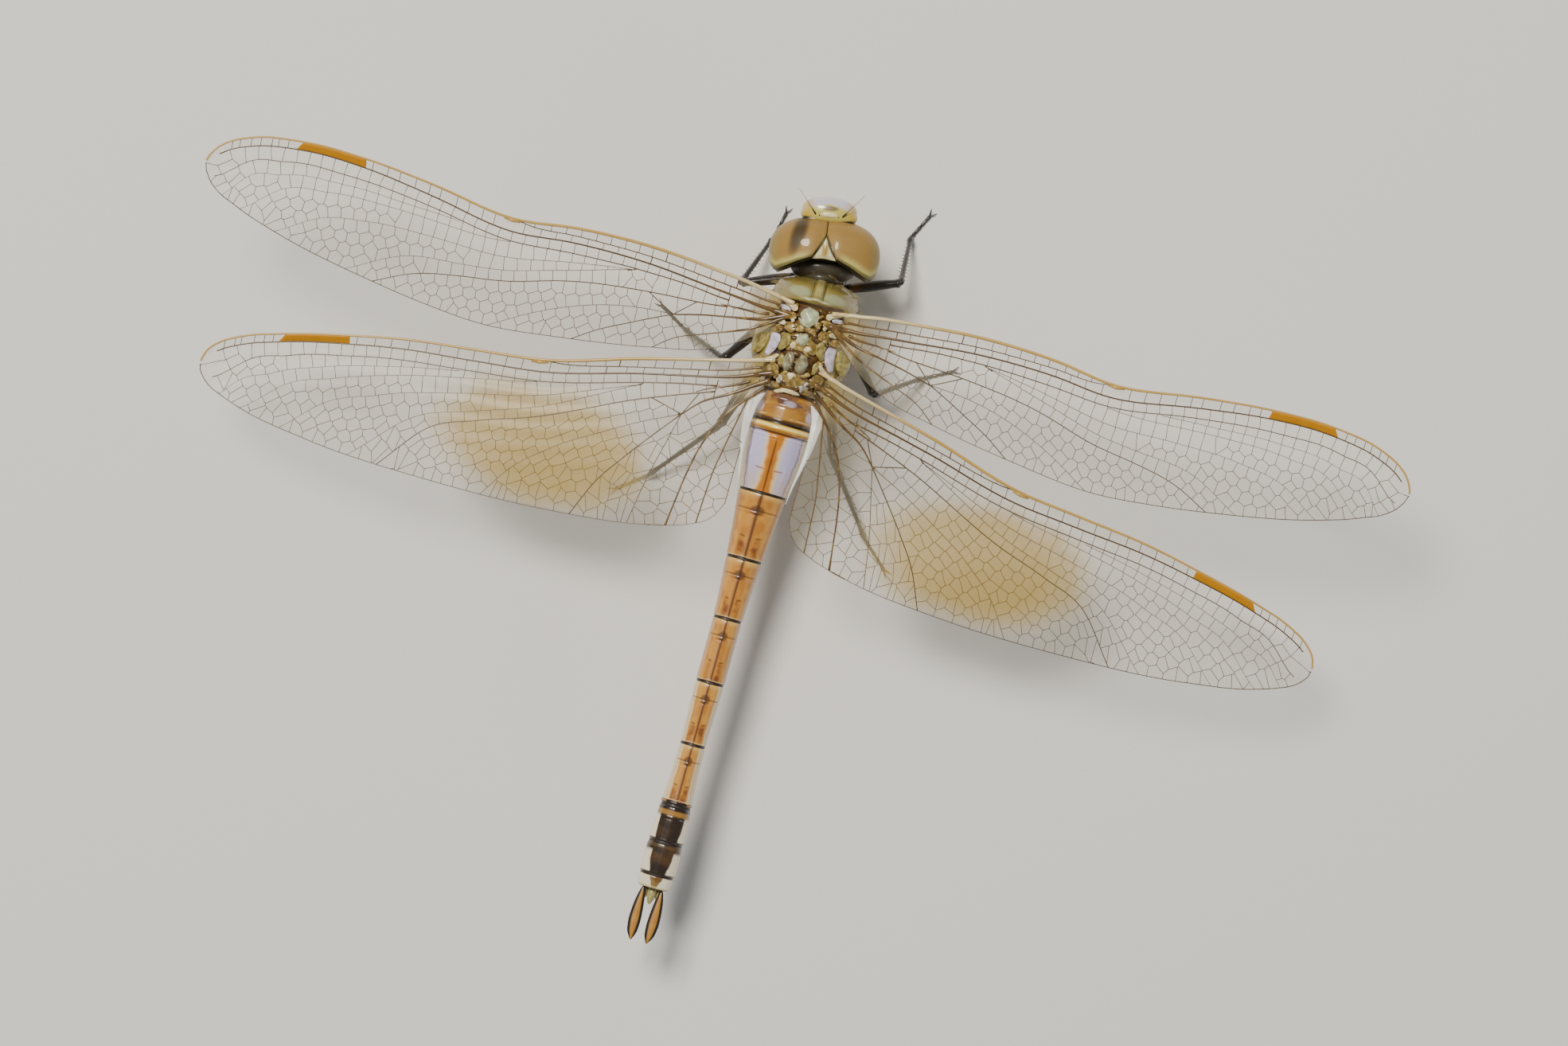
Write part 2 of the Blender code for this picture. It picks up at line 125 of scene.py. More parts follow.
def smooth(stations, at):
    """Read a smooth curve through stations at the places in at.

    The first column is the place along the curve and the others are the values. Between two
    stations the value is a cubic whose slope at each is the mean slope there.
    """
    stations = np.asarray(stations, dtype=float)
    stations = stations[np.argsort(stations[:, 0])]
    knot, values = stations[:, 0], stations[:, 1:]
    slopes = np.gradient(values, knot, axis=0)
    at = np.clip(np.atleast_1d(at), knot[0], knot[-1])
    left = np.clip(np.searchsorted(knot, at, side="right") - 1, 0, len(knot) - 2)
    step = (knot[left + 1] - knot[left])[..., None]
    t = (at - knot[left])[..., None] / step
    return (
        values[left] * (1 + 2 * t) * (1 - t) ** 2
        + slopes[left] * step * t * (1 - t) ** 2
        + values[left + 1] * t**2 * (3 - 2 * t)
        + slopes[left + 1] * step * t**2 * (t - 1)
    )


def along(points, count):
    """count points, evenly spread, on a smooth curve through points."""
    points = np.asarray(points, dtype=float)
    steps = np.linalg.norm(np.diff(points, axis=0), axis=1)
    length = np.concatenate(([0.0], np.cumsum(steps)))
    return smooth(np.column_stack((length, points)), np.linspace(0.0, length[-1], count))


def rounded(outline):
    """A closed outline whose corners are cut off again and again, a sixth along each side."""
    points = np.asarray(outline, dtype=float)
    for _ in range(3):
        after = np.roll(points, -1, axis=0)
        cut = (5 / 6 * points + 1 / 6 * after, 1 / 6 * points + 5 / 6 * after)
        points = np.stack(cut, axis=1).reshape(-1, 2)
    return points.mean(axis=0) + 1.04 * (points - points.mean(axis=0))


def place(points):
    """Body millimetres as the frame's metres."""
    return (np.asarray(points, dtype=float) + ORIGIN) * MM


def from_head(points):
    """Head millimetres, X to its right and Y to its front, as body millimetres."""
    points = np.asarray(points, dtype=float)
    cosine, sine = math.cos(HEAD_TURN), math.sin(HEAD_TURN)
    turn = np.array(((cosine, sine, 0.0), (-sine, cosine, 0.0), (0.0, 0.0, 1.0)))
    return points @ turn + HEAD_CENTRE


def turned(points, yaw, pitch, roll):
    """points turned about X by pitch, then Y by roll, then Z by yaw, in degrees."""
    for angle, first, second in ((pitch, 1, 2), (roll, 2, 0), (yaw, 0, 1)):
        cosine, sine = math.cos(math.radians(angle)), math.sin(math.radians(angle))
        turn = np.eye(3)
        turn[first, first] = turn[second, second] = cosine
        turn[first, second], turn[second, first] = sine, -sine
        points = points @ turn
    return points


# ---- meshes -------------------------------------------------------------------------------

PAD_DEPTH = 0.5


class Skin:
    """Vertices and faces gathered from several closed surfaces, to become one piece."""

    def __init__(self, *grids):
        self.points, self.quads, self.corners = [], [], []
        self.fans, self.fan_corners = [], []
        self.count = 0
        for points in grids:
            self.grid(points)

    def grid(self, points, over=(3, 2, 1, 0)):
        """Skins over rows x columns of points, wrapped round their columns, fans at both ends.

        points may also hold many surfaces of one size. The UV map runs from 0 to 1 along the
        columns and along the rows. Where the volume that the first skin holds comes out
        negative, every face is turned, a quad's corners then being taken in the order over.
        """
        points = points.reshape(-1, *points.shape[-3:])
        skins, rows, columns = points.shape[:3]
        ends = points[:, (0, -1)].mean(axis=2)
        added = np.concatenate((points.reshape(skins, -1, 3), ends), axis=1)
        index = np.arange(rows * columns).reshape(rows, columns)
        right = np.roll(index, -1, axis=1)
        middle = np.full(columns, index.size)
        quads = np.stack((index[:-1], right[:-1], right[1:], index[1:]), axis=-1).reshape(-1, 4)
        head_fan = np.stack((middle, right[0], index[0]), axis=-1)
        tail_fan = np.stack((index[-1], right[-1], middle + 1), axis=-1)
        fans = np.vstack((head_fan, tail_fan))
        u, v = np.arange(columns + 1) / columns, np.linspace(0.0, 1.0, rows)
        a, b = np.meshgrid(u[:-1], v[:-1])
        c, d = np.meshgrid(u[1:], v[1:])
        corners = np.stack((a, b, c, b, c, d, a, d), axis=-1).reshape(-1, 4, 2)
        across = np.stack(((u[:-1] + u[1:]) / 2, u[1:], u[:-1]), axis=-1)
        fan_u = np.vstack((across, across[:, ::-1]))
        fan_v = np.repeat((0.0, 1.0), columns)[:, None] + 0 * fan_u
        fan_corners = np.stack((fan_u, fan_v), axis=-1)
        thirds = np.vstack((quads[:, (0, 1, 2)], quads[:, (0, 2, 3)], fans))
        a, b, c = np.moveaxis((added[0] - added[0].mean(axis=0))[thirds], 1, 0)
        if (a * np.cross(b, c)).sum() < 0:
            quads, corners = quads[:, over], corners[:, over]
            fans, fan_corners = fans[:, ::-1], fan_corners[:, ::-1]
        first = self.count + np.arange(skins)[:, None, None] * added.shape[1]
        self.points.append(added.reshape(-1, 3))
        self.quads.append((quads + first).reshape(-1, 4))
        self.fans.append((fans + first).reshape(-1, 3))
        self.corners.append(np.tile(corners, (skins, 1, 1)).reshape(-1, 2))
        self.fan_corners.append(np.tile(fan_corners, (skins, 1, 1)).reshape(-1, 2))
        self.count += skins * added.shape[1]

    def slab(self, top, depth):
        """A plate with its upper side on the grid top and its lower side depth below it."""
        self.grid(np.concatenate((top, (top - UP * depth)[:, ::-1]), axis=1))

    def ball(self, centre, half, power=2.0, yaw=0.0, pitch=0.0, roll=0.0, rows=20, columns=32):
        """A superellipsoid, |x/a|^p + |y/b|^p + |z/c|^p = 1, turned and then moved to centre."""
        lift = shares(rows, -0.497, 0.497) * math.pi
        turn = bearings(columns)
        shape = sheet(np.cos(lift) * np.cos(turn), np.cos(lift) * np.sin(turn), np.sin(lift))
        points = power_of(shape, 2 / power) * np.asarray(half)
        self.grid(turned(points, yaw, pitch, roll) + np.asarray(centre))

    def pair(self, centre, half, power=2.0, yaw=0.0, roll=0.0, **size):
        """A ball on each side of the middle line, the one the mirror image of the other."""
        for _, sign in SIDES:
            place_at = np.array(centre) * (sign, 1, 1)
            self.ball(place_at, half, power, sign * yaw, 0.0, sign * roll, **size)

    def pad(self, outline, base, rise):
        """A domed plate over a closed outline in plan; base gives the height of its edge at x, y.

        At a share r of the way out from its middle it stands rise (1 - r^3)^0.6 above base, and
        two crossed waves lift or lower its top by up to a third of the rise.
        """
        outline = rounded(outline)
        middle = outline.mean(axis=0)
        share = np.concatenate(((0.4, 1.0), np.sin(np.linspace(1.0, 0.03, 10) * math.pi / 2)))
        plan = middle + share[:, None, None] * (outline - middle)
        lift = (rise * (1 - share**3) ** 0.6)[:, None] + 0 * plan[..., 0]
        lift *= 1 + 0.35 * np.sin(5.1 * plan[..., 0] + 1.0) * np.sin(4.3 * plan[..., 1])
        lift[:2] = -PAD_DEPTH
        z = base(plan[..., 0], plan[..., 1]) + lift
        self.grid(np.concatenate((plan, z[..., None]), axis=-1))

    def tubes(self, paths, radii, sides, flat=1.0, up=UP):
        """Round bars along paths, an array of bars x points x 3, of the given radii.

        A ring's corners are centre + r (cos a side + flat sin a lift), with side square to both
        the bar and up, and lift square to the bar and side. Both ends have a fan.
        """
        paths = np.asarray(paths, dtype=float)
        radii = np.broadcast_to(radii, paths.shape[:2])[..., None, None]
        ahead = np.gradient(paths, axis=1)
        ahead /= np.linalg.norm(ahead, axis=-1, keepdims=True) + 1e-12
        side = np.cross(ahead, up)
        side /= np.linalg.norm(side, axis=-1, keepdims=True) + 1e-12
        lift = np.cross(side, ahead)
        angle = bearings(sides)[..., None]
        ring = np.cos(angle) * side[:, :, None] + flat * np.sin(angle) * lift[:, :, None]
        self.grid(paths[:, :, None] + radii * ring, over=(0, 3, 2, 1))

    def piece(self, name, material, slot, nodes=(), head=False):
        """Make the object, put it on the frame's one body and hide the CAD nodes it stands for."""
        points = np.vstack(self.points)
        points = place(from_head(points) if head else points)
        faces = np.vstack(self.quads).tolist() + np.vstack(self.fans).tolist()
        corners = np.vstack(self.corners + self.fan_corners)
        mesh = bpy.data.meshes.new(name)
        mesh.from_pydata(points.tolist(), [], faces)
        mesh.uv_layers.new(name="Shell").data.foreach_set("uv", corners.ravel())
        mesh.materials.append(material)
        mesh.shade_smooth()
        made = bpy.data.objects.new(name, mesh)
        bpy.context.scene.collection.objects.link(made)
        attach(made, "root")
        if nodes:
            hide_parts(*nodes)
        return made


# ---- shader nodes -------------------------------------------------------------------------


class Wire:
    """A value in a node tree. Sums, products and steps of it add nodes to the tree."""

    def __init__(self, paint, socket):
        self.paint, self.socket = paint, socket

    def math(self, operation, other=0.0, swapped=False):
        """Add a Math node of this value and another one."""
        pair = (other, self) if swapped else (self, other)
        return self.paint.node("ShaderNodeMath", {"operation": operation}, dict(enumerate(pair)))

    def __add__(self, other):
        return self.math("ADD", other)

    def __sub__(self, other):
        return self.math("SUBTRACT", other)

    def __rsub__(self, other):
        return self.math("SUBTRACT", other, swapped=True)

    def __mul__(self, other):
        return self.math("MULTIPLY", other)

    def __truediv__(self, other):
        return self.math("DIVIDE", other)

    def __abs__(self):
        return self.math("ABSOLUTE")

    __radd__, __rmul__ = __add__, __mul__

    def most(self, other):
        return self.math("MAXIMUM", other)

    def rise(self, low, high):
        """0 where the value is low and 1 where it is high, with a smooth step between."""
        sockets = {"Value": self, "From Min": low, "From Max": high}
        return self.paint.node("ShaderNodeMapRange", {"interpolation_type": "SMOOTHSTEP"}, sockets)

    def near(self, centre, half, soft):
        """1 where the value is within half of centre, fading over soft."""
        return abs(self - centre).rise(half + soft / 2, half - soft / 2)


def oval(x, y, centre, half, soft):
    """1 inside an ellipse in x and y, fading over the share soft of its size."""
    across, ahead = (x - centre[0]) / half[0], (y - centre[1]) / half[1]
    return (across * across + ahead * ahead).rise(1 + soft, 1 - soft)


class Paint:
    """A material being made: a Principled shader, and short ways to add nodes before it."""

    def __init__(self, name, coat=(0.0, 0.03), **constants):
        """coat holds the weight and the roughness of the clear coat."""
        self.material = bpy.data.materials.new(name)
        self.material.use_nodes = True
        self.tree = self.material.node_tree
        self.shader = self.tree.nodes["Principled BSDF"]
        constants["Coat_Weight"], constants["Coat_Roughness"] = coat
        for socket, value in constants.items():
            self.shader.inputs[socket.replace("_", " ")].default_value = value

    def node(self, kind, settings=None, sockets=None, output=0):
        """Add a node, set its settings, fill its sockets and return one output, or all."""
        made = self.tree.nodes.new(kind)
        for name, value in (settings or {}).items():
            setattr(made, name, value)
        for key, value in (sockets or {}).items():
            if isinstance(value, Wire):
                self.tree.links.new(value.socket, made.inputs[key])
            else:
                made.inputs[key].default_value = value
        if output is None:
            return [Wire(self, socket) for socket in made.outputs]
        return Wire(self, made.outputs[output])

    def from_centre(self, x, y, z, turn=0.0):
        """Places in millimetres from the point x, y, z, in a frame turned about Z by turn."""
        cosine, sine = math.cos(turn), math.sin(turn)
        sockets = {
            "Vector": self.node("ShaderNodeTexCoord", output=3),
            "Location": (-x * cosine - y * sine, x * sine - y * cosine, -z),
            "Rotation": (0.0, 0.0, -turn),
            "Scale": (1 / MM, 1 / MM, 1 / MM),
        }
        return self.node("ShaderNodeMapping", {}, sockets)

    def millimetres(self, head=False):
        """Places in millimetres from the body's origin, or in the head's own frame."""
        if head:
            return self.from_centre(*(ORIGIN + HEAD_CENTRE), HEAD_TURN)
        return self.from_centre(*ORIGIN)

    def lay_out(self, scale, detail=3.0, head=False):
        """X, Y and Z in millimetres, the point they make, and a cloud of scale lumps to a mm."""
        point = self.millimetres(head)
        return *self.split(point), point, self.noise(point, scale, detail)

    def split(self, vector):
        """A vector's three parts."""
        return self.node("ShaderNodeSeparateXYZ", {}, {0: vector}, None)

    def shell(self):
        """The piece's own UV map, as two values."""
        vector = self.node("ShaderNodeUVMap", {"uv_map": "Shell"})
        return self.split(vector)[:2]

    def noise(self, vector, scale, detail=2.0, stretch=None):
        """Cloudy noise, 0 to 1, of the given number of lumps to a millimetre."""
        if stretch:
            vector = self.node("ShaderNodeMapping", {}, {"Vector": vector, "Scale": stretch})
        sockets = {"Vector": vector, "Scale": scale, "Detail": detail}
        return self.node("ShaderNodeTexNoise", {}, sockets)

    def cells(self, vector, scale):
        """How far each point is from the nearest of many scattered ones."""
        return self.node("ShaderNodeTexVoronoi", {}, {"Vector": vector, "Scale": scale})

    def blend(self, mask, below, above):
        """below where mask is 0 and above where it is 1.

        Both are colours: wires, linear values, or screen colours as whole numbers up to 255.
        """
        sockets = {"Factor": mask}
        for key, value in ((6, below), (7, above)):
            if not isinstance(value, Wire):
                value = (*(shade(*value) if isinstance(value[0], int) else value[:3]), 1.0)
            sockets[key] = value
        return self.node("ShaderNodeMix", {"data_type": "RGBA"}, sockets, 2)

    def layers(self, base, *layers):
        """base with each (mask, colour) laid over it in turn."""
        for mask, colour in layers:
            base = self.blend(mask, base, colour)
        return base

    def finish(self, colour, roughness=None, height=None, depth=0.02, alpha=None):
        """Link the colour, and where given the roughness, alpha and a bump of depth mm."""
        links = {"Base Color": colour, "Roughness": roughness, "Alpha": alpha}
        if height is not None:
            sockets = {"Height": height, "Distance": depth * MM, "Strength": 1.0}
            links["Normal"] = self.node("ShaderNodeBump", {}, sockets)
        for key, value in links.items():
            if isinstance(value, Wire):
                self.tree.links.new(value.socket, self.shader.inputs[key])
            elif value is not None:
                self.shader.inputs[key].default_value = value
        return self.material


# ---- sizes and colours that a user would change --------------------------------------------


def tint(name, description, *look):
    """A colour property whose default is the screen colour look, 0 to 255."""
    return FloatVectorProperty(
        name=name, description=description, subtype="COLOR", min=0, max=1, default=shade(*look)
    )


class EyeSettings(PropertyGroup):
    bronze: tint("Bronze", "Most of each eye", 164, 132, 74)
    rim: tint("Rim", "Pale rim behind each eye", 208, 202, 122)
    lower: tint("Lower half", "Lower and outer part of each eye", 138, 130, 62)
    facet: FloatProperty(
        name="Facet", description="Width of a facet, in mm", default=0.045, min=0.01, max=0.2
    )


class ShellSettings(PropertyGroup):
    olive: tint("Olive", "Shell of the thorax", 148, 134, 70)
    # painted sheen: a pale reflection painted on the thorax domes; the sheen plates on the back take it
    # as their base
    sheen: tint("Sheen", "Pale waxy patches", 182, 190, 152)
    cream: tint("Cream", "Pale plates and bumps", 232, 222, 172)
    ochre: tint("Ochre", "Upper side of the abdomen", 208, 148, 62)
    lavender: tint("Lavender", "Sides and saddle of the abdomen", 204, 196, 214)
    dark: tint("Dark", "Lines, rings and joints", 42, 28, 18)
    yellow: tint("Yellow", "Face and lower sides", 212, 196, 96)


class WingSettings(PropertyGroup):
    film: tint("Film", "Clear part of the wings", 214, 204, 172)
    amber: tint("Amber", "Saffron patch of the hindwings", 198, 164, 30)
    costa: tint("Costa", "Front edge of the wings", 212, 172, 88)
    vein: tint("Vein", "The other veins", 86, 64, 36)
    stigma: tint("Stigma", "The long cell near each tip", 208, 148, 20)
    vein_radius: FloatProperty(
        name="Vein radius", description="Cross-veins, in mm", default=0.026, min=0.01, max=0.1
    )
    cell: FloatProperty(
        name="Cell", description="Width of a middling cell, in mm", default=1.04, min=0.4, max=2.0
    )
    seed: IntProperty(name="Seed", description="Places of the cross-veins", default=7)


class LegSettings(PropertyGroup):
    black: tint("Black", "Legs and feelers", 30, 25, 22)
    brown: tint("Brown", "Hips and upper thighs", 96, 62, 32)
    spine: FloatProperty(
        name="Spine", description="Length of a shin spine, in mm", default=0.75, min=0.1, max=2.0
    )


class StageSettings(PropertyGroup):
    floor: tint("Floor", "The plain floor", 236, 234, 230)
    distance: FloatProperty(
        name="Distance", description="Camera above the wings", default=0.4, subtype="DISTANCE"
    )
    roll: FloatProperty(
        name="Roll", description="Turn of the camera", default=math.radians(15.5), subtype="ANGLE"
    )


# ---- head ---------------------------------------------------------------------------------

EYE_HALF = (4.65, 3.1, 3.3)  # half width, length and height of the two eyes together
EYE_POWER = 2.6
EYE_SEAM = 0.014  # half the gap between the eyes
EYE_ROWS, EYE_COLUMNS = 110, 220
CREASE_DEPTH, CREASE_WIDTH = 0.09, 0.7
# plan of the eyes' back edge, from the tip of the occipital triangle outwards
EYE_BACK = (
    (0.0, 1.6), (0.5, 0.72), (0.98, -0.2), (2.2, -0.7), (3.2, -1.24), (3.6, -1.44),
    (3.85, -1.5), (4.1, -1.42), (4.3, -1.2), (4.46, -0.88), (4.58, -0.42), (4.64, 0.1), (4.8, 1.2),
)


def back_edge(across):
    """How far forward the eyes' back edge lies at a distance from the middle."""
    return np.interp(np.abs(across), *np.transpose(EYE_BACK))


def eye_surface():
    """One eye as rings round the axis across the head, from the seam to the outermost point.

    It is the superellipsoid |x/a|^p + |y/b|^p + |z/c|^p = 1. Its rings are lowered by a bell
    curve at the seam. Behind the widest point it is drawn out 1.5 times, before it 1.05 times,
    and what would then lie behind the back edge is pressed forward to it by a softplus, softer
    towards the outside.
    """
    a, b, c = EYE_HALF
    start = math.asin((EYE_SEAM / a) ** (EYE_POWER / 2))
    lean = shares(EYE_ROWS, start, math.pi / 2 - 0.01)
    turn = bearings(EYE_COLUMNS)
    x = a * np.sin(lean) ** (2 / EYE_POWER)
    ring = 1 - CREASE_DEPTH * hump(x, 0.0, CREASE_WIDTH) - 0.03 * hump(x, 0.0, 0.07)
    y = b * power_of(np.cos(lean) * np.cos(turn), 2 / EYE_POWER) * (1 - 0.01 * hump(x, 0.0, 0.07))
    z = c * power_of(np.cos(lean) * np.sin(turn), 2 / EYE_POWER) * ring
    back = back_edge(x)
    y = np.where(y < 0, 1.5 * y, 1.05 * y)
    softness = 0.07 + 0.22 * ease(2.9, 4.3, x)
    y = back + softness * np.logaddexp(0.0, (y - back) / softness)
    return sheet(x, y, z)


def paint_eye(look):
    """Bronze with a pale rim behind, olive below, painted shade at the back edge, a painted pseudopupil,
    fine facets and a wet gloss.
    """
    paint = Paint("eye_bronze", (0.3, 0.04), Specular_IOR_Level=0.2)
    x, y, z, point, cloud = paint.lay_out(0.55, head=True)
    out = abs(x)
    beyond = (out - 1.0).most(0.0)
    corner = (out - 3.75).most(0.0)
    back = (1.0 - out).most(0.0) * 1.8 - beyond * 0.43 + corner * corner * 1.4 - 0.2
    grain = paint.noise(point, 5.0, 2.0, (0.4, 1.6, 1.0))
    rim = (y - back + cloud * 0.5).rise(1.15, 0.35) * out.rise(0.9, 1.9)
    low = (z + cloud * 1.2).rise(1.3, -1.0)
    outer = (out + cloud * 0.8).rise(3.9, 5.0)
    # painted dark reflection: the pseudopupil, a soft dark patch that shows on the left eye from this
    # view
    painted_pseudopupil = oval(x - y * 0.2, y, (-2.62, 1.7), (0.6, 1.8), 0.85)
    # painted shade: dark olive at the very back edge stands for the shade on the eyes' rear wall
    behind = (y - back + cloud * 0.3).rise(0.5, 0.25)
    seam = out.rise(0.055, 0.02)
    band = grain.rise(0.35, 0.7)
    warm = tuple(value * share for value, share in zip(look.bronze, (0.72, 0.68, 0.6)))
    pale = tuple(min(1.0, value * 1.2) for value in look.bronze)
    colour = paint.layers(
        look.bronze,
        (cloud * 0.55, warm),
        (band * 0.22, pale),
        (low * 0.8, look.lower),
        (outer * 0.55, look.lower),
        (rim * 0.85, look.rim),
        (behind * 0.8, (78, 68, 34)),
        (painted_pseudopupil * 0.88, (56, 48, 34)),
        (seam * 0.8, (104, 82, 44)),
    )
    return paint.finish(colour, 0.4 + cloud * 0.1, paint.cells(point, 1 / look.facet), 0.0015)


class DRAGONFLY_OT_eyes(Operator):
    """Make the two compound eyes"""

    bl_idname = "dragonfly.eyes"
    bl_label = "Eyes"

    def execute(self, context):
        material = paint_eye(context.scene.dragonfly_eyes)
        for side, sign in SIDES:
            skin = Skin(eye_surface() * (sign, 1, 1))
            skin.piece(f"eye_{side}_lens", material, "eye", [f"eye_{side}"], head=True)
        return {"FINISHED"}


def paint_plate(name, base, dark, pale=None, rough=0.34, mottle=0.35, scale=1.2):
    """A waxy shell plate: cloudy colour, dark and pale, and fine pits."""
    paint = Paint(name, (0.35, 0.18))
    point = paint.from_centre(0.0, 0.0, 0.0)
    cloud = paint.noise(point, scale, 4.0)
    pits = paint.noise(point, 14.0, 2.0)
    colour = paint.layers(
        base,
        (cloud.rise(0.45, 0.75) * mottle, dark),
        (cloud.rise(0.5, 0.25) * mottle, pale or base),
    )
    return paint.finish(colour, rough + cloud * 0.12, pits, 0.005)


def occiput_rim():
    """The plate that backs both eyes: rows across the head, each a flat upright oval.

    An oval's half height is that of a superellipsoid 0.82 the size of the eyes, and its front
    lies just behind the eyes' back edge.
    """
    a, _, c = np.array(EYE_HALF) * 0.82
    x = np.sin(shares(121, -1.0, 1.0) * math.pi / 2) * a * 0.999
    turn = bearings(72)
    tall = c * (1 - np.abs(x / a) ** EYE_POWER) ** (1 / EYE_POWER)
    middle = np.minimum(back_edge(x), EYE_BACK[2][1]) - 0.02
    y = middle + 0.15 * power_of(np.cos(turn), 0.5)
    z = tall * power_of(np.sin(turn), 0.6)
    return sheet(x, y, z)


def paint_occiput(shell):
    """Nearly black olive behind the eyes, yellower below."""
    paint = Paint("occiput_olive", (0.1, 0.3))
    x, _, z, point, cloud = paint.lay_out(1.5, head=True)
    olive = tuple(value * 0.12 for value in shell.olive)
    colour = paint.layers(
        olive,
        ((abs(x) + cloud).rise(3.0, 4.4) * 0.15, shell.olive),
        (z.rise(0.5, -2.0) * 0.6, shell.yellow),
        (cloud.rise(0.5, 0.75) * 0.5, shell.dark),
    )
    return paint.finish(colour, 0.5, paint.noise(point, 12.0), 0.008)


def occipital_triangle():
    """The raised triangle between the eyes: rows from its tip back, columns across it.

    Half width grows as the 0.9th power of the way back; the top is a parabola across, with a
    tubercle, a bell curve in both directions, near its back edge. The tip dips into the seam.
    """
    way = shares(40)
    across = shares(41, -1.0, 1.0).T
    half = 0.02 + 0.96 * way**0.9
    x = across * half
    y = 1.6 - 1.84 * way - 0.1 * way * across**2
    crown = 3.03 - 0.08 * (1.64 - y) ** 1.3
    rise = 0.1 * (1 - across**2) + 0.16 * hump(x, 0.0, 0.2) * hump(y, 0.45, 0.55)
    z = crown + rise - 0.12 * ease(0.85, 1.0, way) - 0.36 * ease(0.24, 0.0, way)
    return sheet(x, y, z)


def paint_triangle(shell):
    """Cream with a tan tubercle near its rear end, and dark side edges."""
    paint = Paint("occiput_cream", (0.6, 0.12))
    x, y, _, _, cloud = paint.lay_out(2.5, head=True)
    middle = x.near(0.0, 0.22, 0.25) * y.near(0.44, 0.5, 0.4)
    way = (1.6 - y) / 1.84
    half = way * way * 0.5 + way * 0.42
    edge = abs(x).rise(half - 0.07, half + 0.03) * y.rise(-0.16, -0.02)
    colour = paint.layers(
        shell.cream,
        (cloud * 0.5, (220, 202, 128)),
        (middle * 0.95, (186, 152, 76)),
        (edge * 0.85, shell.dark),
    )
    return paint.finish(colour, 0.3, cloud, 0.01)


class DRAGONFLY_OT_occiput(Operator):
    """Make the plates behind and between the eyes"""

    bl_idname = "dragonfly.occiput"
    bl_label = "Occiput"

    def execute(self, context):
        shell = context.scene.dragonfly_shell
        skin = Skin(occiput_rim())
        skin.piece("occiput_rim", paint_occiput(shell), "occiput", ["head"], head=True)

        skin = Skin()
        skin.slab(occipital_triangle(), 0.5)
        skin.piece("occipital_triangle", paint_triangle(shell), "occiput", head=True)

        skin = Skin()
        skin.ball((0.0, -0.9, -0.5), (2.7, 1.2, 1.9), 2.2, rows=30, columns=48)
        skin.ball((0.0, -1.75, 0.0), (1.5, 0.75, 1.4), 2.0, rows=24, columns=40)
        # partly painted shade: the back of the head is dark olive, standing both for its own colour and
        # for the shade in the hollow between the eyes and the thorax
        material = paint_plate("neck_olive_and_shade", (56, 48, 28), shell.dark, (80, 70, 42), 0.6)
        skin.piece("back_of_head", material, "occiput", head=True)
        return {"FINISHED"}


HAIR_RADII = (0.014, 0.01, 0.002)
HAIR_PATCH = 0.003  # side of the square that a hair takes up on its map


def hair_piece(name, material, slot, root, out, spots, bend, lengths, rng, head):
    """Fine hairs as one piece: thin cones from root along out, bent at half their length.

    spots are the roots' places, 0 to 1 both ways, on the map of the surface they stand on. The
    map OFBake holds a small patch at each place, which all the faces of its hair share.
    """
    lean = rng.normal(0, 0.25, root.shape) + bend
    size = rng.uniform(*lengths, (len(root), 1))
    middle = root + out * size * 0.55
    tip = middle + (out + lean) * size * 0.45
    sides = 3
    skin = Skin()
    skin.tubes(np.stack((root - out * 0.05, middle, tip), axis=1), HAIR_RADII, sides)
    made = skin.piece(name, material, slot, head=head)
    corners = []
    for patch in (((0, 0), (0, 1), (1, 1), (1, 0)), ((0, 0), (1, 0), (0, 1))):
        shared = np.repeat(spots, 2 * sides, axis=0)[:, None] + HAIR_PATCH * np.array(patch)
        corners.append(shared.reshape(-1, 2))
    corners = np.vstack(corners)
    made.data.uv_layers.new(name="OFBake", do_init=False).data.foreach_set("uv", corners.ravel())


# face plates seen from the side: height, half width, front
FACE = (
    (-0.3, 2.25, 4.72), (-0.9, 2.15, 4.35), (-1.8, 2.05, 4.15), (-2.6, 1.7, 3.75), (-3.1, 1.3, 3.3),
)
FACE_BACK = 1.9
FACE_POWER = 2.3
FACE_ROWS, FACE_COLUMNS = 36, 96
FACE_HAIRS = 60  # on each plate
# name, top, bottom, bulge and the node that each plate stands for
FACE_PLATES = (
    ("postclypeus", -0.38, -1.15, 0.16, ["clypeus"]),
    ("anteclypeus", -1.12, -1.62, 0.02, []),
    ("labrum_plate", -1.64, -2.98, 0.12, ["labrum"]),
)


def face_plate(top, bottom, bulge):
    """A band of the face between two heights, as rings closed straight across behind.

    Each ring is half a superellipse. It swells by bulge half way down the band and draws in at
    the band's edges as the 0.35th power of a sine.
    """
    share = np.linspace(0.0, 1.0, FACE_ROWS)
    heights = top + (bottom - top) * share
    fullness = np.sin(np.clip(share, 0.004, 0.996) * math.pi) ** 0.35
    angle = np.linspace(0.0, math.pi, FACE_COLUMNS)
    widths = smooth(FACE, heights)
    half = widths[:, :1] - 0.25 * (1 - fullness[:, None])
    front = widths[:, 1:] + (bulge + 0.3) * fullness[:, None] - 0.3
    x = half * power_of(np.cos(angle), 2 / FACE_POWER)
    y = FACE_BACK + (front - FACE_BACK) * np.sin(angle) ** (2 / FACE_POWER)
    return sheet(x, y, heights[:, None])


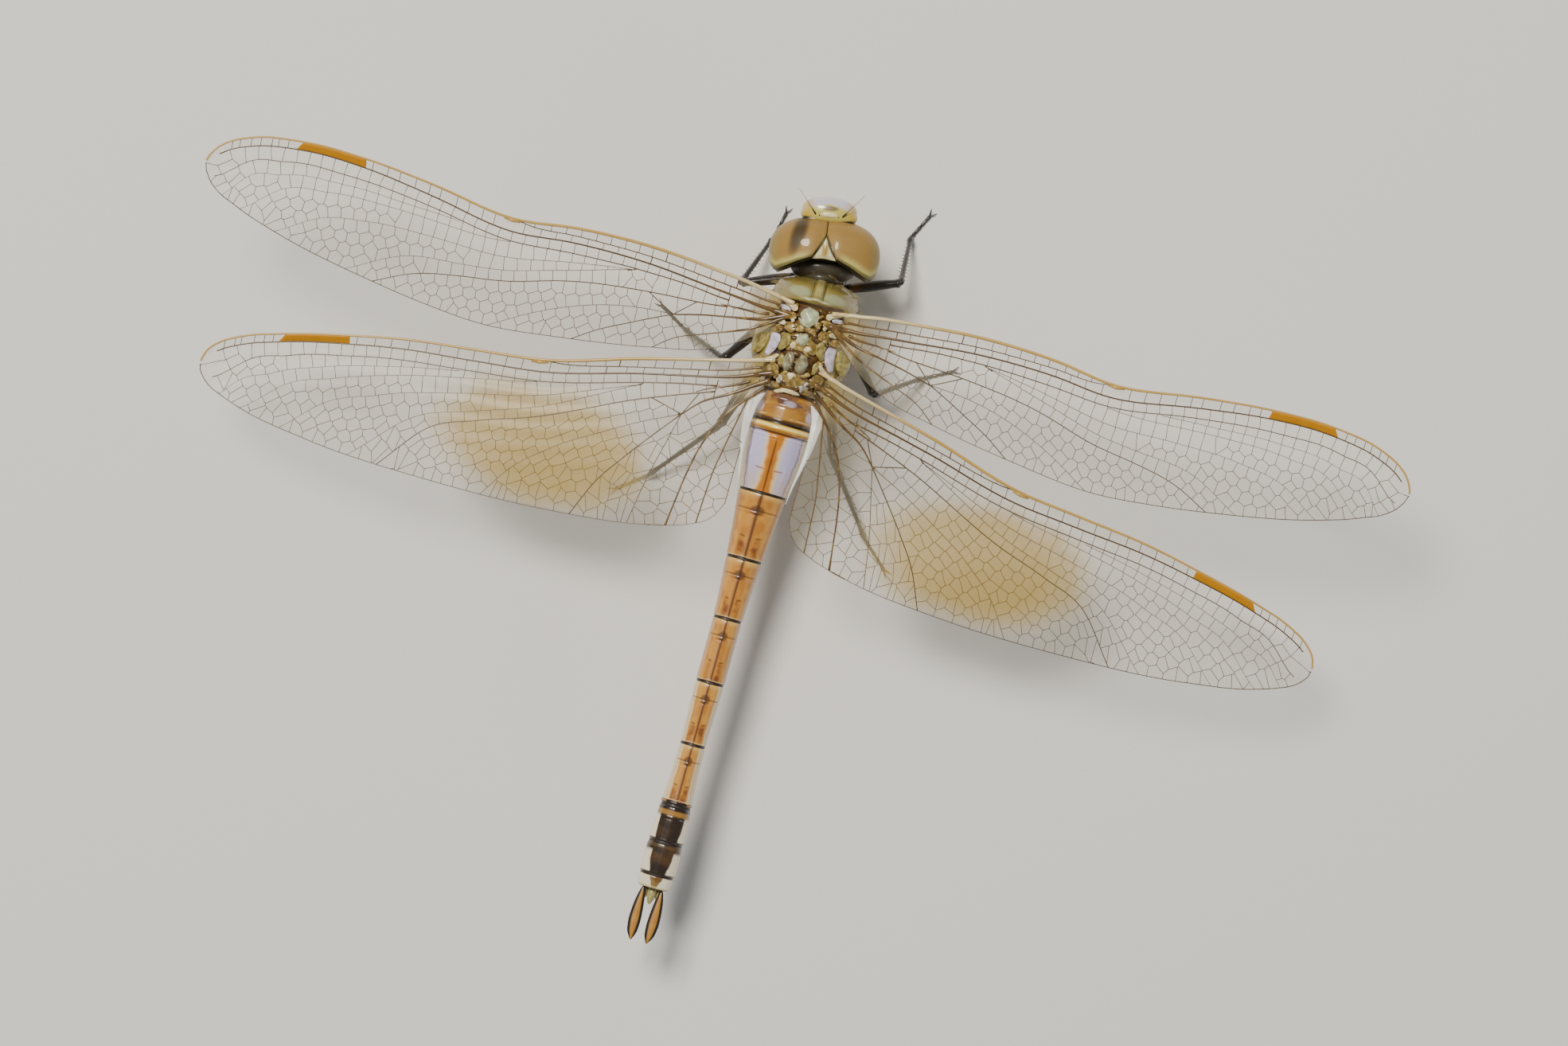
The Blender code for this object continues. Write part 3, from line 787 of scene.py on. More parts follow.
def paint_face(name, shell, bottom):
    """Yellow-green, ochre at the sides, with a faint dark middle line and a brown lower edge."""
    paint = Paint(name, (0.7, 0.1))
    x, _, z, point, cloud = paint.lay_out(1.6, head=True)
    edge = z.rise(bottom + 0.16, bottom + 0.02)
    colour = paint.layers(
        shell.yellow,
        (cloud * 0.45, (176, 164, 84)),
        (abs(x).rise(1.5, 2.2) * 0.6, (198, 160, 60)),
        (abs(x).rise(0.16, 0.02) * 0.12, shell.dark),
        (edge * 0.75, (92, 62, 30)),
    )
    return paint.finish(colour, 0.28 + cloud * 0.14, paint.noise(point, 15.0), 0.008)


def paint_frons():
    """Waxy lilac-white crescent in front, yellow-green behind, golden sides and a dark spot."""
    paint = Paint("frons_wax", (0.8, 0.07))
    x, y, z, point, cloud = paint.lay_out(1.8, head=True)
    reach = y + x * x * 0.16
    low = 0.25 + x * x * 0.12
    crescent = (reach + cloud * 0.3).rise(4.25, 4.6) * (z + cloud * 0.4).rise(low, low + 0.8)
    spot = oval(x, y, (0.0, 3.98), (0.7, 0.2), 0.6)
    sides = (abs(x) + cloud * 0.5 + abs(z - 0.9) * 0.3).rise(1.6, 2.3)
    colour = paint.layers(
        (206, 196, 104),
        (cloud * 0.4, (190, 172, 78)),
        (crescent * 0.9, (214, 208, 226)),
        (sides * 0.8, (210, 176, 56)),
        (spot * 0.8, (86, 58, 52)),
        (z.rise(-0.2, -0.5) * 0.6, (120, 88, 40)),
    )
    return paint.finish(colour, 0.24 + cloud * 0.12, paint.noise(point, 15.0), 0.003)


class DRAGONFLY_OT_face(Operator):
    """Make the face: frons, vertex, clypeus, labrum, jaws and labium"""

    bl_idname = "dragonfly.face"
    bl_label = "Face"

    def execute(self, context):
        shell = context.scene.dragonfly_shell
        skin = Skin()
        skin.ball((0.0, 3.8, 0.6), (2.28, 1.18, 1.36), 2.35, rows=64, columns=120)
        dome = skin.points[-1]
        dome[:, 0] *= 1 + 0.14 * ease(3.95, 2.95, dome[:, 1])
        skin.piece("frons_dome", paint_frons(), "face", ["frons"], head=True)

        rng = np.random.default_rng(3)
        roots, spots = [], []
        for name, top, bottom, bulge, nodes in FACE_PLATES:
            plate = face_plate(top, bottom, bulge)
            material = paint_face(f"{name}_yellow", shell, bottom)
            Skin(plate).piece(name, material, "face", nodes, head=True)
            row, column = rng.integers(9, 30, FACE_HAIRS), rng.integers(16, 80, FACE_HAIRS)
            roots.append(plate[row, column])
            spots.append(np.stack((column / FACE_COLUMNS, row / FACE_ROWS), axis=-1))
        roots = np.vstack(roots)
        out = unit((roots - (0.0, FACE_BACK, 0.0)) * (1, 1, 0))
        dark = paint_plate("hair_brown", (86, 64, 36), (52, 38, 24), None, 0.5)
        hairs = (roots, out - (0, 0, 0.25), np.vstack(spots), (0, 0, -0.5), (0.2, 0.42))
        hair_piece("face_hairs", dark, "face", *hairs, rng, head=True)

        skin = Skin()
        skin.pair((1.85, 3.0, -1.95), (0.42, 0.8, 0.85), 2.2, yaw=24, roll=14)
        jaw = paint_plate("jaw_yellow", shell.yellow, (120, 80, 30), shell.cream)
        skin.piece("mandibles", jaw, "face", head=True)

        skin = Skin()
        skin.ball((0.0, 0.9, -3.2), (1.25, 1.95, 0.85), 2.3, rows=30, columns=60)
        skin.pair((1.2, 1.7, -3.2), (0.62, 1.2, 0.8), 2.2, yaw=18, rows=24, columns=40)
        material = paint_plate("labium_yellow", shell.yellow, (150, 118, 58), shell.cream)
        skin.piece("labium_lobes", material, "face", ["labium"], head=True)

        skin = Skin()
        skin.ball((0.0, 2.72, 1.0), (2.24, 0.78, 0.66), 2.9, rows=30, columns=60)
        skin.pair((1.14, 3.42, 1.72), (0.1, 0.1, 0.14), rows=12, columns=20)
        material = paint_plate("vertex_black", (34, 26, 18), (16, 12, 10))
        skin.piece("vertex_band", material, "leg", head=True)

        skin = Skin()
        skin.ball((0.0, 3.46, 1.72), (0.76, 0.25, 0.3), 2.6, rows=24, columns=40)
        material = paint_plate("vertex_cream", shell.cream, (196, 184, 110), rough=0.2)
        skin.piece("vertex_tubercle", material, "occiput", head=True)

        skin = Skin()
        skin.ball((0.0, 3.74, 1.86), (0.12, 0.08, 0.1), rows=16, columns=24)
        skin.pair((0.8, 3.34, 1.76), (0.09, 0.09, 0.11), rows=16, columns=24)
        material = paint_plate("ocellus_glass", (70, 50, 30), (40, 26, 16), rough=0.08)
        skin.piece("ocelli", material, "eye", head=True)
        return {"FINISHED"}


class DRAGONFLY_OT_feelers(Operator):
    """Make the two bristle-like antennae"""

    bl_idname = "dragonfly.feelers"
    bl_label = "Feelers"

    def execute(self, context):
        material = paint_leg("feeler_black", context.scene.dragonfly_legs)
        for side, sign in SIDES:
            skin = Skin()
            way = shares(34)
            root, tip = np.array((1.14, 3.42, 1.8)), np.array((2.75, 5.3, 2.7))
            path = root + (tip - root) * way + np.array((0.05, 0.1, 0.42)) * way * (1 - way)
            ring = np.where(way[:, 0] % 0.2 < 0.035, 1.12, 1.0)
            radii = (0.07 - 0.042 * ease(0.06, 0.24, way[:, 0]) - 0.016 * way[:, 0]) * ring
            skin.tubes(path[None] * (sign, 1, 1), radii[None], 12)
            skin.piece(f"feeler_{side}", material, "leg", [f"antenna_{side}"], head=True)
        return {"FINISHED"}


# ---- legs ---------------------------------------------------------------------------------

LEG_LENGTHS = {"front": (5.0, 6.2, 3.1), "mid": (7.6, 6.4, 3.4), "hind": (9.4, 8.4, 3.8)}
LEG_RADII = {"front": 0.4, "mid": 0.42, "hind": 0.45}
HIPS = {"front": (1.2, 5.75, 5.75), "mid": (1.55, 3.35, 3.3), "hind": (1.6, 0.75, 3.1)}
TROCHANTERS = {"front": (1.9, 5.6, 4.3), "mid": (2.2, 3.1, 3.0), "hind": (2.3, 0.4, 2.8)}
ANKLE_HEIGHT = 0.82
# the thickness of each part of a leg: share of its length, share of its radius
LEG_PROFILES = {
    "hip": ((0.0, 1.5), (0.3, 1.75), (0.7, 1.4), (0.93, 1.15), (1.0, 0.8)),
    "thigh": (
        (0.0, 0.85), (0.08, 1.0), (0.3, 1.12), (0.7, 0.98), (0.92, 0.86), (0.97, 0.92), (1.0, 0.6),
    ),
    "shin": (
        (0.0, 0.75), (0.04, 1.1), (0.12, 0.95), (0.5, 0.8), (0.9, 0.78), (0.97, 0.95), (1.0, 0.6),
    ),
    "foot": ((0.0, 0.55), (0.08, 0.8), (0.5, 0.86), (0.85, 1.0), (0.97, 0.9), (1.0, 0.6)),
}
# the foot's joints: share of the length they take together, and radius
FOOT_JOINTS = ((0.22, 0.17), (0.3, 0.155), (0.48, 0.15))
JOINTS_SHARE = 0.82
FOOT_HEIGHT = 0.17
SHIN_RADIUS = 0.25
# leg, side, ankle in plan, way the knee leans, heading of the foot in degrees from +X
STANCE = (
    ("front", "left", (-5.0, 8.3), (-0.25, -0.8, 0.7), 78.0),
    ("front", "right", (6.3, 11.5), (0.85, -0.25, 0.8), 64.0),
    ("mid", "left", (-10.2, -1.1), (0.05, -0.75, 0.75), 150.0),
    ("mid", "right", (10.4, 0.2), (-0.05, -0.75, 0.75), 28.0),
    ("hind", "left", (-9.8, -13.9), (0.35, -0.2, 0.8), 218.0),
    ("hind", "right", (9.4, -14.3), (-0.35, -0.2, 0.8), 318.0),
)


def knee_point(hip, ankle, femur, tibia, lean):
    """Where two straight lengths from hip and ankle meet, on the side that lean points to."""
    reach = ankle - hip
    distance = np.linalg.norm(reach)
    ahead = reach / distance
    share = (femur**2 - tibia**2 + distance**2) / (2 * distance)
    side = unit(lean - ahead * (lean @ ahead))
    return hip + ahead * share + side * math.sqrt(femur**2 - share**2)


def paint_leg(name, look, brown=None):
    """Black, faintly ribbed, with brown towards the hip where brown is given."""
    paint = Paint(name, (0.5, 0.15))
    point = paint.millimetres()
    cloud = paint.noise(point, 1.3, 3.0)
    fine = paint.noise(point, 16.0, 2.0)
    colour = paint.layers(
        look.black,
        (cloud * 0.5, (52, 42, 34)),
        (fine.rise(0.6, 0.8) * 0.4, (74, 58, 42)),
    )
    if brown:
        way = paint.shell()[1]
        colour = paint.blend((way + cloud * 0.3).rise(0.55, 0.2), colour, brown)
    return paint.finish(colour, 0.3 + cloud * 0.15, fine, 0.01)


def limb(skin, points, part, radius, sides, knots, ribs):
    """A tapered ribbed bar along a smooth curve through points, with the profile of a leg's part.

    The section is a circle with four shallow ribs: its radius is 1 + ribs cos 4a.
    """
    path = along(points, knots)
    thick = smooth(LEG_PROFILES[part], np.linspace(0.0, 1.0, knots)) * radius
    ahead = unit(np.gradient(path, axis=0))
    side = unit(np.cross(ahead, UP))
    lift = np.cross(side, ahead)
    angle = bearings(sides)[..., None]
    ring = (1 + ribs * np.cos(4 * angle)) * thick[..., None]
    corners = np.cos(angle) * side[:, None] + np.sin(angle) * lift[:, None]
    skin.grid(path[:, None] + ring * corners)


def spines(skin, start, end, radius, length, count, spread, rng, slant=0.75):
    """Two rows of spines below a thigh or shin, thin cones that lean towards the foot."""
    ahead = unit(end - start)
    side = unit(np.cross(ahead, UP))
    below = unit(np.cross(ahead, side))
    below = below if below[2] < 0 else -below
    for sign in (-1, 1):
        way = np.linspace(0.1, 0.95, count) + rng.uniform(-0.015, 0.015, count)
        roots = start + (end - start) * way[:, None]
        out = unit(below * math.cos(spread) + side * sign * math.sin(spread))
        size = length * (1 - 0.45 * way) * rng.uniform(0.85, 1.1, count)
        lean = unit(out + ahead * slant)
        way = shares(3) * size[:, None, None]
        path = roots[:, None] + out * radius * 0.8 + lean * way
        path[:, 2] += ahead * 0.05 * size[:, None]
        skin.tubes(path, np.array((0.05, 0.034, 0.008)), 5, up=side)


def tarsus(skin, ankle, heading, length):
    """Three foot joints that lie on the floor, growing longer outwards, and two hooked claws."""
    ahead = np.array((math.cos(heading), math.sin(heading), 0.0))
    aside = np.array((-ahead[1], ahead[0], 0.0))
    heel = ankle * (1, 1, 0) + UP * FOOT_HEIGHT
    down = along((ankle, ankle * (1, 1, 0.55) + ahead * 0.1, heel + ahead * 0.25), 8)
    skin.tubes([down], FOOT_JOINTS[0][1], 10, up=aside)
    begin = 0.0
    for share, thick in FOOT_JOINTS:
        first = heel + ahead * length * JOINTS_SHARE * begin
        last = heel + ahead * length * JOINTS_SHARE * (begin + share)
        limb(skin, np.linspace(first, last, 3), "foot", thick, 12, 12, 0.0)
        begin += share
    wrist = heel + ahead * length * 0.8
    for sign in (-1, 1):
        tip = wrist + ahead * length * 0.2 + aside * sign * 0.3 - UP * (FOOT_HEIGHT - 0.03)
        bend = wrist + ahead * length * 0.13 + aside * sign * 0.22 + UP * 0.05
        path = along((wrist, bend, tip), 10)
        skin.tubes([path], np.linspace(0.085, 0.015, 10)[None], 8)


class DRAGONFLY_OT_legs(Operator):
    """Make the six legs: hip, thigh, spined shin and clawed foot"""

    bl_idname = "dragonfly.legs"
    bl_label = "Legs"

    def execute(self, context):
        look = context.scene.dragonfly_legs
        thigh = paint_leg("thigh_black", look, look.brown)
        shin = paint_leg("shin_black", look)
        rng = np.random.default_rng(11)
        for kind, side, ankle, lean, heading in STANCE:
            flip = np.array((dict(SIDES)[side], 1, 1))
            hip, trochanter = np.array(HIPS[kind]) * flip, np.array(TROCHANTERS[kind]) * flip
            ankle = np.array((*ankle, ANKLE_HEIGHT))
            femur, tibia, foot = LEG_LENGTHS[kind]
            knee = knee_point(trochanter, ankle, femur, tibia, np.array(lean))
            radius = LEG_RADII[kind]
            name = f"leg_{kind}_{side}"

            skin = Skin()
            root = hip + (hip - trochanter) * 0.35
            limb(skin, (root, hip, trochanter), "hip", radius, 28, 30, 0.02)
            bend = trochanter + (knee - trochanter) * 0.12
            skin.ball(bend, np.full(3, radius * 1.12), 2.0, rows=16, columns=24)
            start = trochanter + (knee - trochanter) * 0.1
            limb(skin, (start, (start + knee) / 2, knee), "thigh", radius, 24, 44, 0.05)
            spines(skin, start, knee, radius, look.spine * 0.4, 9, 0.5, rng, 0.4)
            skin.piece(f"{name}_thigh", thigh, "leg", [f"{name}_femur"])

            skin = Skin()
            begin = knee - (ankle - knee) * 0.02
            limb(skin, (begin, (begin + ankle) / 2, ankle), "shin", SHIN_RADIUS, 20, 40, 0.08)
            spines(skin, knee, ankle, 0.19, look.spine, 12, 0.75, rng)
            skin.piece(f"{name}_shin", shin, "leg", [f"{name}_tibia"])

            skin = Skin()
            tarsus(skin, ankle, math.radians(heading), foot)
            skin.piece(f"{name}_foot", shin, "leg", [f"{name}_tarsus"])
        return {"FINISHED"}


# ---- thorax -------------------------------------------------------------------------------

TRUNK_POWER = 2.15
THORAX_NARROWING = 0.2
THORAX_FLOOR = 0.75  # depth of the hollow on the back that holds the small plates
# seams on each side: distance forward at the floor of the thorax, and at its top
SIDE_SEAMS = ((5.1, 2.7), (2.9, -0.7), (0.6, -3.0))
SEAM_BASE, SEAM_HEIGHT = 4.0, 9.5
RIDGE = 0.08  # how far to the right of the middle the ridge in front runs
THORAX_HAIRS = 1100
ROUND_BITS = 90  # small round plates that fill the gaps on the back


def node_points(node):
    """The vertices of a CAD node, in body millimetres."""
    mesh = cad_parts[node].data
    points = np.empty(len(mesh.vertices) * 3)
    mesh.vertices.foreach_get("co", points)
    return points.reshape(-1, 3) / MM - ORIGIN


def stations_of(*nodes):
    """Distance forward, half width, top and bottom of each ring of trunk nodes."""
    points = np.vstack([node_points(node) for node in nodes])
    found = []
    for place_at in np.unique(np.round(points[:, 1], 2)):
        ring = points[np.abs(points[:, 1] - place_at) < 0.02]
        found.append((place_at, np.abs(ring[:, 0]).max(), ring[:, 2].max(), ring[:, 2].min()))
    return np.array(found)


def trunk_rings(stations, y, columns, narrowing=0.0, fullness=1.0):
    """Upright superellipses at the places y, counted from the insect's right over its back.

    |x / w|^p + |z / h|^p = 1; the upper half is drawn in by narrowing, and the whole ring is
    scaled by fullness.
    """
    half, top, bottom = np.moveaxis(smooth(stations, y), -1, 0)[:, :, None]
    turn = bearings(columns)
    x, z = power_of(np.cos(turn), 2 / TRUNK_POWER), power_of(np.sin(turn), 2 / TRUNK_POWER)
    x = x * (1 - narrowing * np.clip(z, 0, None) ** 1.5)
    fullness = np.reshape(fullness, (-1, 1))
    x = half * x * fullness
    z = (top + bottom) / 2 + (top - bottom) / 2 * z * fullness
    return sheet(x, y[:, None], z)


def ends_closed(front, back, rows, power=10.0):
    """Places from front to back, crowded at both ends, and how full the rings are there.

    Fullness is (1 - |t|^n)^(1/n), t running from -1 at one end to 1 at the other.
    """
    t = np.sin(np.linspace(-0.995, 0.995, rows) * math.pi / 2)
    y = (front + back) / 2 - (front - back) / 2 * t
    return y, (1 - np.abs(t) ** power) ** (1 / power)


def pushed(points, relief):
    """points moved away from the trunk's axis by relief mm, square to the body."""
    middle = points.mean(axis=1, keepdims=True)
    out = (points - middle) * (1, 0, 1)
    out /= np.linalg.norm(out, axis=-1, keepdims=True) + 1e-9
    return points + out * relief[..., None]


def thorax_relief(points, crown):
    """Height in mm of the domes, ridge, crest, hollow back and slanting seams of the thorax."""
    x, y, z = np.moveaxis(points, -1, 0)
    above = ease(-3.2, -1.2, z - crown)
    front = ease(3.35, 3.9, y) * above
    aside = np.abs(x - RIDGE)
    ridge = 0.3 * np.exp(-((aside / 0.36) ** 4)) - 0.16 * hump(aside, 0.56, 0.12)
    domes = 0.28 * hump(np.abs(x), 1.8, 1.0) * hump(y, 4.6, 0.9)
    crest = 0.12 * hump(y, 3.62, 0.16) * ease(1.9, 0.9, np.abs(x))
    crest = (crest - 0.3 * hump(y, 3.2 + 0.05 * x, 0.16) * ease(3.2, 2.4, np.abs(x))) * above
    back = ease(3.25, 2.9, y) * ease(-4.2, -3.7, y) * ease(2.75, 1.9, np.abs(x)) * above
    relief = front * (ridge + domes) + crest - THORAX_FLOOR * back
    height = (z - SEAM_BASE) / SEAM_HEIGHT
    for low, high in SIDE_SEAMS:
        away = y - (low + (high - low) * height)
        relief -= 0.13 * hump(away, 0.0, 0.09) * (1 - above)
        relief += 0.07 * hump(np.abs(away), 0.32, 0.16) * (1 - above)
    return relief


def thorax_surface(rows=190, columns=220):
    stations = stations_of("thorax")
    y, fullness = ends_closed(5.68, -4.36, rows)
    points = trunk_rings(stations, y, columns, THORAX_NARROWING, fullness)
    crown = points[..., 2].max(axis=1, keepdims=True)
    return pushed(points, thorax_relief(points, crown))


def back_height(x, y):
    """Height of the unhollowed thorax above points, found by repeating the ring's equation."""
    x, y = np.broadcast_arrays(np.abs(x), y)
    stations = smooth(stations_of("thorax"), np.ravel(y)).reshape(*y.shape, 3)
    half, top, bottom = np.moveaxis(stations, -1, 0)
    rise = np.full(y.shape, 0.7)
    for _ in range(30):
        reach = np.minimum(x / (half * (1 - THORAX_NARROWING * rise**1.5)), 0.97)
        rise = 0.5 * rise + 0.5 * (1 - reach**TRUNK_POWER) ** (1 / TRUNK_POWER)
    return (top + bottom) / 2 + (top - bottom) / 2 * rise


def plate_floor(x, y):
    """Where the small plates stand: on the thorax, easing outwards past 2.8 mm, lower within."""
    x = np.abs(x)
    shelf = back_height(np.minimum(x, 2.8), y) - 0.8 * np.clip(x - 2.8, 0, None)
    return np.maximum(back_height(x, y), shelf) - 0.22 * ease(2.8, 2.2, x)


def thorax_hairs(count, rng):
    """Roots, outward directions and map places of hairs on the thorax, its back left bare."""
    rows, columns = 120, 160
    surface = thorax_surface(rows, columns)
    row, column = rng.integers(6, 112, count), rng.integers(0, columns, count)
    root = surface[row, column]
    kept = (np.abs(root[:, 0]) > 3.3) | (root[:, 1] > 5.2) | (root[:, 2] < 11.5)
    row, column, root = row[kept], column[kept], root[kept]
    out = unit((root - surface.mean(axis=1)[row]) * (1, 0, 1))
    return root, out, np.stack((column / columns, row / rows), axis=-1)


def paint_thorax(shell):
    """Olive-brown wax with pale patches of painted sheen in front, dark seams and yellow lower sides."""
    paint = Paint("thorax_olive", (0.6, 0.12))
    x, y, z, point, cloud = paint.lay_out(0.9, 4.0)
    out = abs(x - RIDGE)
    fine = paint.noise(point, 9.0, 3.0)
    top = z.rise(11.2, 12.6)
    # painted sheen: a pale reflection near the rear of each dome
    sheen = oval(out, y, (1.45, 4.05), (0.95, 0.42), 0.7) * top
    rim = (y + out * out * 0.13).rise(5.35, 5.75)
    crest = (y + out * 0.1).near(3.66, 0.09, 0.14) * out.rise(1.7, 0.7) * top
    line = (y - x * 0.04).near(3.18, 0.12, 0.14) * out.rise(2.7, 2.3) * top
    beside = out.near(0.5, 0.05, 0.12) * y.rise(3.6, 3.9) * top
    # partly painted shade: the hollow's floor, seen only in the gaps between the small back plates, is
    # its own brown darkened for the shade in those gaps
    hollow = y.rise(3.1, 2.9) * out.rise(2.75, 2.35) * top
    low = (z + cloud * 2.0).rise(9.5, 6.5)
    height = (z - SEAM_BASE) / SEAM_HEIGHT
    colour = paint.layers(
        shell.olive,
        (cloud * 0.5, (120, 98, 52)),
        ((z + cloud * 3).rise(13.0, 10.5) * 0.5, (168, 150, 84)),
        (low * 0.75, shell.yellow),
        (sheen * 0.6, shell.sheen),
        (rim * top * 0.5, (192, 178, 112)),
        (out.near(0.0, 0.3, 0.12) * y.rise(3.8, 4.1) * top * 0.7, (184, 172, 106)),
        (out.near(0.0, 0.28, 0.16) * y.rise(5.3, 5.5) * 0.8, shell.cream),
        (crest * 0.7, (206, 204, 160)),
        (line * 0.9, (72, 46, 44)),
        (beside * 0.75, (74, 60, 30)),
        # partly painted shade in the gaps between the back plates, with dark clouds in the crevices
        (hollow, (120, 84, 38)),
        (hollow * cloud.rise(0.42, 0.66) * 0.85, (70, 46, 22)),
    )
    for low_end, high_end in SIDE_SEAMS:
        away = y - (low_end + height * (high_end - low_end))
        seam = away.near(0.0, 0.06, 0.1) * (1.0 - top)
        halo = away.near(-0.5, 0.3, 0.4) * (1.0 - top)
        colour = paint.layers(colour, (halo * 0.35, (96, 84, 44)), (seam * 0.9, shell.dark))
    return paint.finish(colour, 0.3 + cloud * 0.16, fine, 0.012)


# small plates on the left of the back, mirrored on its right: finish, how far below the back's
# own height, rise, and outline in plan
BACK_PLATES = (
    ("cream", 0.0, 0.16, (
        (-2.6, 2.95), (-1.85, 3.0), (-1.25, 2.75), (-1.25, 2.4), (-1.55, 2.25), (-1.75, 2.5),
        (-2.2, 2.7),
    )),
    ("lavender", 0.1, 0.16, ((-2.75, 2.66), (-2.1, 2.62), (-1.72, 2.4), (-1.9, 2.18), (-2.6, 2.28))),
    ("amber", 0.2, 0.16, (
        (-3.0, 2.2), (-2.0, 2.15), (-1.3, 2.2), (-1.1, 1.7), (-1.9, 1.5), (-2.9, 1.65),
    )),
    ("cream", 0.0, 0.22, ((-2.65, 1.3), (-2.2, 1.48), (-1.8, 1.2), (-1.95, 0.95), (-2.5, 1.0))),
    ("cream", 0.16, 0.18, ((-1.6, 1.65), (-1.3, 1.76), (-1.18, 1.45), (-1.42, 1.28))),
    ("amber", 0.32, 0.18, ((-1.85, 1.3), (-1.2, 1.35), (-0.9, 0.85), (-1.25, 0.4), (-1.95, 0.75))),
    ("amber", 0.1, 0.16, ((-3.1, 1.0), (-2.4, 0.9), (-1.95, 0.6), (-2.2, 0.25), (-3.05, 0.3))),
    ("olive", 0.26, 0.26, (
        (-2.05, 0.35), (-1.3, 0.4), (-1.05, -0.1), (-1.2, -0.7), (-1.75, -1.15), (-2.05, -0.9),
        (-1.85, -0.3),
    )),
    ("lavender", 0.02, 0.24, (
        (-2.8, 0.14), (-2.08, 0.16), (-1.92, -0.4), (-2.12, -1.2), (-2.6, -1.8), (-2.95, -1.6),
        (-2.78, -0.7),
    )),
    ("olive", 0.12, 0.26, (
        (-4.05, -0.05), (-2.95, 0.2), (-2.88, -0.6), (-3.25, -1.55), (-3.95, -2.0), (-4.2, -0.9),
    )),
    ("cream", 0.0, 0.18, (
        (-2.75, -2.35), (-2.25, -2.25), (-1.85, -1.85), (-1.66, -1.5), (-1.95, -1.45),
        (-2.35, -1.8), (-2.85, -2.05),
    )),
    ("amber", 0.12, 0.18, ((-3.7, -2.0), (-2.95, -1.9), (-2.45, -2.3), (-2.7, -2.8), (-3.5, -2.85))),
    ("amber", 0.22, 0.18, ((-2.5, -2.45), (-1.8, -2.2), (-1.4, -2.6), (-1.5, -3.2), (-2.3, -3.2))),
    ("cream", 0.0, 0.24, ((-2.9, -3.65), (-2.4, -3.4), (-1.95, -3.6), (-1.95, -3.95), (-2.55, -4.05))),
    ("cream", 0.05, 0.18, ((-3.1, -4.0), (-2.8, -3.85), (-2.62, -4.12), (-2.9, -4.3))),
    ("amber", 0.25, 0.18, ((-3.3, -3.1), (-2.5, -3.0), (-1.8, -3.3), (-2.0, -3.7), (-3.1, -3.7))),
    ("amber", 0.26, 0.24, ((-1.75, -2.7), (-1.35, -2.8), (-1.25, -3.3), (-1.6, -3.55), (-1.95, -3.1))),
    ("white", 0.34, 0.2, ((-1.35, -3.0), (-1.0, -3.15), (-0.85, -3.5), (-1.1, -3.8), (-1.42, -3.6))),
    ("olive", 0.36, 0.2, ((-1.5, -1.25), (-1.22, -1.6), (-1.3, -2.45), (-1.65, -2.3), (-1.8, -1.6))),
    ("amber", 0.3, 0.16, ((-1.8, -3.7), (-1.2, -3.7), (-0.9, -4.0), (-1.3, -4.3), (-2.0, -4.2))),
)
# plates on the middle line, in the same form
MIDDLE_PLATES = (
    ("sheen", 0.34, 0.22, (
        (-0.74, 2.68), (-0.1, 2.86), (0.56, 2.7), (0.68, 1.92), (0.02, 1.2), (-0.66, 1.42),
        (-1.0, 1.86),
    )),
    ("amber", 0.5, 0.2, (
        (-1.0, 1.4), (-0.1, 1.15), (0.8, 1.4), (0.8, 0.7), (0.4, 0.75), (-0.1, 0.9), (-0.65, 0.7),
        (-1.0, 0.75),
    )),
    ("sheen", 0.4, 0.3, (
        (-0.74, 0.2), (-0.42, 0.7), (0.12, 0.72), (0.44, 0.3), (0.22, -0.22), (-0.14, -0.36),
        (-0.54, -0.16),
    )),
    ("cream", 0.42, 0.22, ((-1.1, -0.5), (-0.92, -0.14), (-0.62, -0.22), (-0.46, -0.62), (-0.82, -0.8))),
    ("cream", 0.42, 0.22, ((0.1, -0.66), (0.26, -0.26), (0.6, -0.2), (0.8, -0.55), (0.46, -0.78))),
    ("amber", 0.62, 0.2, ((-1.4, 0.6), (1.2, 0.6), (1.2, -0.9), (-0.1, -0.75), (-1.4, -1.0))),
    ("wax", 0.36, 0.36, (
        (-0.6, -0.98), (-0.33, -1.6), (-0.52, -2.45), (-0.95, -2.7), (-1.28, -2.3), (-1.28, -1.5),
        (-0.98, -1.02),
    )),
    ("wax", 0.36, 0.36, (
        (0.1, -0.98), (0.58, -1.06), (0.88, -1.7), (0.68, -2.45), (0.25, -2.7), (-0.16, -2.3),
        (-0.22, -1.6),
    )),
    ("cream", 0.36, 0.2, ((-0.75, -2.72), (0.0, -2.66), (-0.16, -3.3), (-0.48, -3.38))),
    ("amber", 0.5, 0.24, (
        (-1.0, -2.7), (0.9, -2.6), (1.4, -3.3), (0.5, -3.9), (-0.9, -3.9), (-1.4, -3.3),
    )),
    ("white", 0.3, 0.2, ((0.5, -3.62), (0.84, -3.42), (1.1, -3.8), (0.8, -4.1))),
    ("cream", 0.16, 0.2, (
        (-1.4, -4.42), (-0.6, -4.02), (0.4, -4.06), (0.85, -4.3), (0.3, -4.42), (-0.6, -4.36),
        (-1.15, -4.6),
    )),
)


